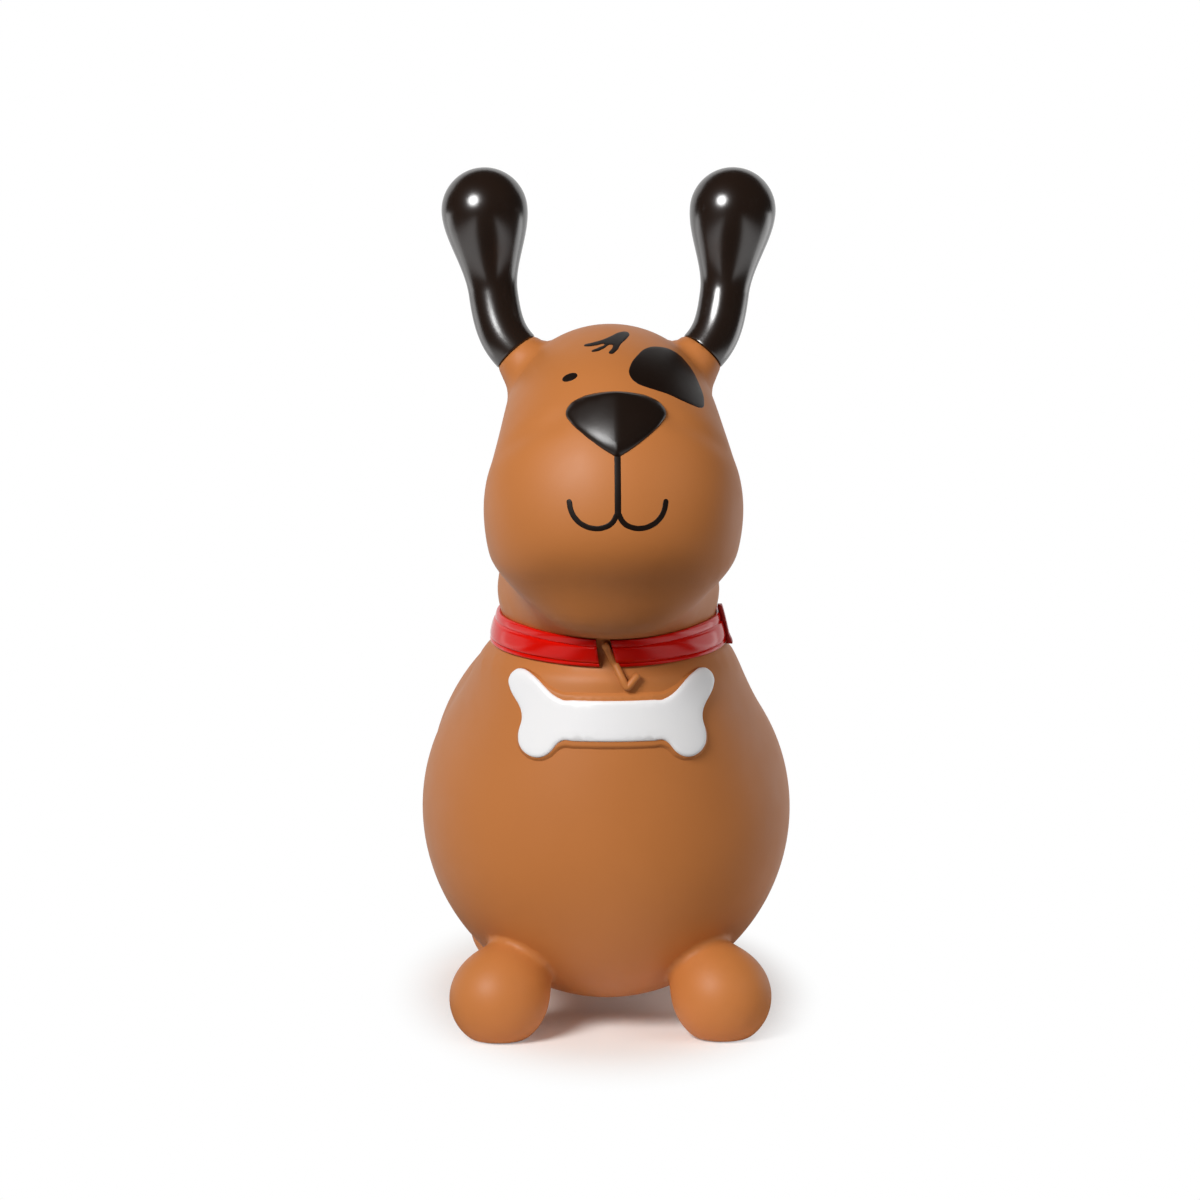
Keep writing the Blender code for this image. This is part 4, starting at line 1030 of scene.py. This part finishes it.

# %% [markdown]
# ## The finishes
#
# The skin is satin vinyl: a warm brown with faint clouds where the pigment varies, and a roughness that
# varies a little with handling. The ears are glossy near-black brown, the nose is a little duller and the
# painted marks are duller still. The collar is glossy red, and its keeper is the same red vinyl painted
# darker as painted shade for the side of the neck. The bone and the plug are smooth white.

# %% Brown and near black
skin_finish = finish("satin_brown_vinyl", ((184, 112, 56), (192, 119, 61)), clouds=14,
                     rough=(0.46, 0.10), wear=60, peel=(0.10, 0.0004, 700), shine=0.34)
dark_finish = finish("glossy_dark_vinyl", ((26, 15, 8), (35, 21, 12)), clouds=40,
                     rough=(0.20, 0.06), wear=90, peel=(0.05, 0.0004, 420), shine=1.0)
paint_finish = finish("dark_paint", ((20, 11, 6), (28, 16, 9)), clouds=60,
                      rough=(0.42, 0.08), wear=120, peel=(0.08, 0.0004, 700), shine=0.2)
nose_finish = finish("satin_dark_vinyl", ((22, 13, 8), (30, 18, 11)), clouds=40,
                     rough=(0.29, 0.06), wear=90, peel=(0.05, 0.0004, 420), shine=0.5)
print("dark finishes:", dark_finish.name, paint_finish.name, nose_finish.name)

# %% Red and white, and the dressing
red_finish = finish("glossy_red_vinyl", ((210, 11, 2), (218, 16, 2)), clouds=30,
                    rough=(0.13, 0.05), wear=120, peel=(0.04, 0.0003, 500), shine=0.2)
# The keeper's darker, duller red is painted shade: the strap's red vinyl, darkened for the shaded side of the
# neck.
keeper_red_with_painted_shade = finish("red_vinyl_with_painted_shade", ((158, 30, 26), (170, 36, 30)), clouds=50,
                       rough=(0.40, 0.08), wear=120, peel=(0.06, 0.0003, 500), shine=0.3)
white_finish = finish("white_vinyl", ((236, 236, 238), (243, 242, 241)), clouds=25,
                      rough=(0.30, 0.08), wear=80, peel=(0.06, 0.0003, 600), shine=0.5)
dressed = [(skin_finish, [body, plate, ring, seat]), (dark_finish, ears), (nose_finish, [nose]),
           (paint_finish, painted), (red_finish, [collar]), (keeper_red_with_painted_shade, [keeper]),
           (white_finish, [bone, plug])]
for material, pieces in dressed:
    for piece in pieces:
        piece.data.materials.clear()
        piece.data.materials.append(material)
    print(material.name, "on", [piece.name for piece in pieces])

# %% [markdown]
# ## The paper
#
# The toy stands on a roll of white paper that rises far behind it. More light could make the paper white,
# but it would bleach the toy. So the paper takes shadows near the toy and fades into plain white farther
# off, to the eye alone: light that bounces from there finds it dark, and so do mirrors before the toy,
# where a room would be. The glossy ears then stay nearly black and mirror only the lamps and the paper
# beside and behind them.

# %% The roll
PAPER_SIDE, PAPER_BEND_Y, PAPER_TOP = 8.0, 5.0, 6.0
BEND_ROWS = 16
bend_turn = np.linspace(0, math.pi / 2, BEND_ROWS)
paper_y = np.concatenate([[-PAPER_SIDE], PAPER_BEND_Y + np.sin(bend_turn), [PAPER_BEND_Y + 1]])
paper_z = np.concatenate([[0.0], 1 - np.cos(bend_turn), [PAPER_TOP]])
paper_x = np.tile((-PAPER_SIDE, PAPER_SIDE), (len(paper_y), 1))
paper = np.stack([paper_x, np.tile(paper_y[:, None], 2), np.tile(paper_z[:, None], 2)], -1)
corners = 2 * np.arange(len(paper_y) - 1)[:, None] + np.array((0, 1, 3, 2))
floor_mesh = bpy.data.meshes.new("floor")
floor_mesh.from_pydata(paper.reshape(-1, 3).tolist(), [], corners.tolist())
floor_mesh.shade_smooth()
floor = bpy.data.objects.new("floor", floor_mesh)
bpy.context.scene.collection.objects.link(floor)
print("paper of", len(corners), "faces")

# %% Light paths and mixes
def light_path(start, kind):
    """1 for rays of a kind, 0 for others."""
    return start.node('ShaderNodeLightPath', {}, {}, kind)


def seen_directly(start):
    """1 for rays from the camera, from mirrors and through glass, 0 for rays that only carry light."""
    return (light_path(start, "Is Camera Ray") + light_path(start, "Is Glossy Ray")
            + light_path(start, "Is Transmission Ray"))


def slide(value, low, high):
    """Smooth step of a socket from 0 at a low value to 1 at a high one."""
    return value.node('ShaderNodeMapRange', {"interpolation_type": 'SMOOTHSTEP'},
                      {"Value": value, "From Min": low, "From Max": high})


def glow(start, level):
    """A plain grey that shines by itself, where 1 is white."""
    return start.node('ShaderNodeEmission', {}, {"Color": (level, level, level, 1.0), "Strength": 1.0})


def mix(start, factor, one, other):
    """A shader between two shaders."""
    return start.node('ShaderNodeMixShader', {}, {0: factor, 1: one, 2: other})


print("light paths and mixes are ready")

# %% The paper's fade
TOY_OVAL, TOY_MIDDLE = (1.0, 0.5, 1.0), (0.0, -0.02, 0.0)       # squeezes the toy's floor into a circle
EYE_FADE, LIGHT_FADE = (0.078, 0.145), (0.11, 0.26)             # from shadowed paper to plain paper
WEDGE, WEDGE_SPREAD, WEDGE_BLUR = 0.21, 0.35, 0.12              # the dark room before the toy
FAR_ASIDE, NOT_BEHIND = (0.7, 1.5), (-1.0, -0.3)                # and far beside it
ROOM = 0.05


def paper_fade(spot, shader):
    """Away from the toy the paper turns plain white to the eye and dark to light that bounces, and before the
    toy it is dark in mirrors too, where the room would be."""
    oval = spot.node('ShaderNodeVectorMath', {"operation": 'MULTIPLY_ADD'},
                     {0: spot, 1: TOY_OVAL, 2: TOY_MIDDLE})
    away = oval.node('ShaderNodeVectorMath', {"operation": 'LENGTH'}, {0: oval}, "Value")
    along = spot.node('ShaderNodeSeparateXYZ', {}, {0: spot}, "Y")
    across = spot.node('ShaderNodeSeparateXYZ', {}, {0: spot}, "X")
    aside = spot.node('ShaderNodeMath', {"operation": 'ABSOLUTE'}, {0: across})
    before = slide(WEDGE - WEDGE_SPREAD * along - aside, -WEDGE_BLUR, WEDGE_BLUR)
    beside = slide(aside, *FAR_ASIDE) * slide(-1.0 * along, *NOT_BEHIND)
    mirrored_room = (1 - (1 - before) * (1 - beside)) * light_path(spot, "Is Glossy Ray")
    white, room, seen = glow(spot, 1.0), glow(spot, ROOM), seen_directly(spot)
    far = mix(spot, seen, room, mix(spot, mirrored_room, white, room))
    fade = seen * slide(away, *EYE_FADE) + (1 - seen) * slide(away, *LIGHT_FADE)
    return mix(spot, fade, shader, far)


floor_mesh.materials.append(finish(
    "white_floor", ((252, 249, 246), (253, 250, 247)), clouds=3, rough=(0.85, 0.05), wear=5,
    peel=(0.01, 0.0002, 200), shine=0.0, over=paper_fade))
print("paper is plain from", EYE_FADE[1], "m off the toy's middle")

# %% [markdown]
# ## Sky and lamps
#
# A studio lights such a toy with one large soft box, and white cards lift the shadows. The key lamp stands
# at the upper left, two weak lamps fill the right side and the back and aren't seen in mirrors, and two
# small low cards put a line of light on the edges. The sky is white to the camera, weak as light and
# nearly dark in mirrors. An environment picture could do all of this at once, but lamps can be set one by
# one.

# %% Sky and lamps
SKY_LIGHT, SKY_MIRRORED = 0.14, 0.04
AIM, CARD_AIM = (0, 0, 0.25), (0, -0.05, 0.40)

world = bpy.data.worlds.new("sky")
world.use_nodes = True
bpy.context.scene.world = world
world.node_tree.nodes.clear()
start = Shade(world.node_tree)
strength = (SKY_LIGHT + (1 - SKY_LIGHT) * seen_directly(start)
            - (1 - SKY_MIRRORED) * light_path(start, "Is Glossy Ray"))
sky = start.node('ShaderNodeBackground', {}, {"Color": (1.0, 1.0, 1.0, 1.0), "Strength": strength})
start.node('ShaderNodeOutputWorld', {}, {"Surface": sky})


def lamp(name, stand, aim, size, power, in_mirrors=True):
    """A round soft lamp that faces a point, seen in mirrors or not."""
    light = bpy.data.lights.new(name, 'AREA')
    light.shape = 'DISK'
    light.size = size
    light.energy = power
    made = bpy.data.objects.new(name, light)
    bpy.context.scene.collection.objects.link(made)
    made.location = stand
    made.visible_glossy = in_mirrors
    way = np.array(aim) - np.array(stand)
    tilt, turn = math.acos(-way[2] / np.linalg.norm(way)), math.atan2(way[1], way[0]) - math.pi / 2
    made.rotation_euler = (tilt, 0, turn)
    print(name, power, "W")


lamp("key", (-1.40, -2.05, 1.75), (0, -0.05, 0.25), size=1.2, power=80)
lamp("fill", (2.20, -1.60, 1.20), AIM, size=2.0, power=20, in_mirrors=False)
lamp("back_fill", (0.60, 2.20, 1.60), AIM, size=1.6, power=14, in_mirrors=False)
lamp("right_card", (0.72, 0.25, 0.24), CARD_AIM, size=0.45, power=0.75)
lamp("left_card", (-0.72, 0.25, 0.24), CARD_AIM, size=0.45, power=0.45)

# %% [markdown]
# ## The camera
#
# A long lens from 2.6 m keeps the feet from looking larger than the head, as in a catalogue. The camera
# stands a little above the toy's middle and looks down at it by seven degrees. Its turn comes from the
# same angles as its place, which needs no tracking constraint.

# %% The camera
TARGET = np.array((0, 0, 0.262))
DISTANCE, AZIMUTH, ELEVATION = 2.6, math.radians(-2), math.radians(7)
SENSOR, PICTURE, FOCAL, ASIDE = 36, 1200, 4061, -4.8            # mm, then pixels of the picture
camera = bpy.data.cameras.new("camera")
camera.sensor_width = SENSOR
camera.lens = FOCAL / PICTURE * SENSOR
camera.shift_x = ASIDE / PICTURE
seen_from = bpy.data.objects.new("camera", camera)
bpy.context.scene.collection.objects.link(seen_from)
seen_from.location = TARGET + DISTANCE * np.array((
    math.sin(AZIMUTH) * math.cos(ELEVATION), -math.cos(AZIMUTH) * math.cos(ELEVATION), math.sin(ELEVATION)))
seen_from.rotation_euler = (math.pi / 2 - ELEVATION, 0, AZIMUTH)
bpy.context.scene.camera = seen_from
bpy.context.scene.view_settings.view_transform = 'Standard'
print("camera at", [round(x, 3) for x in seen_from.location])
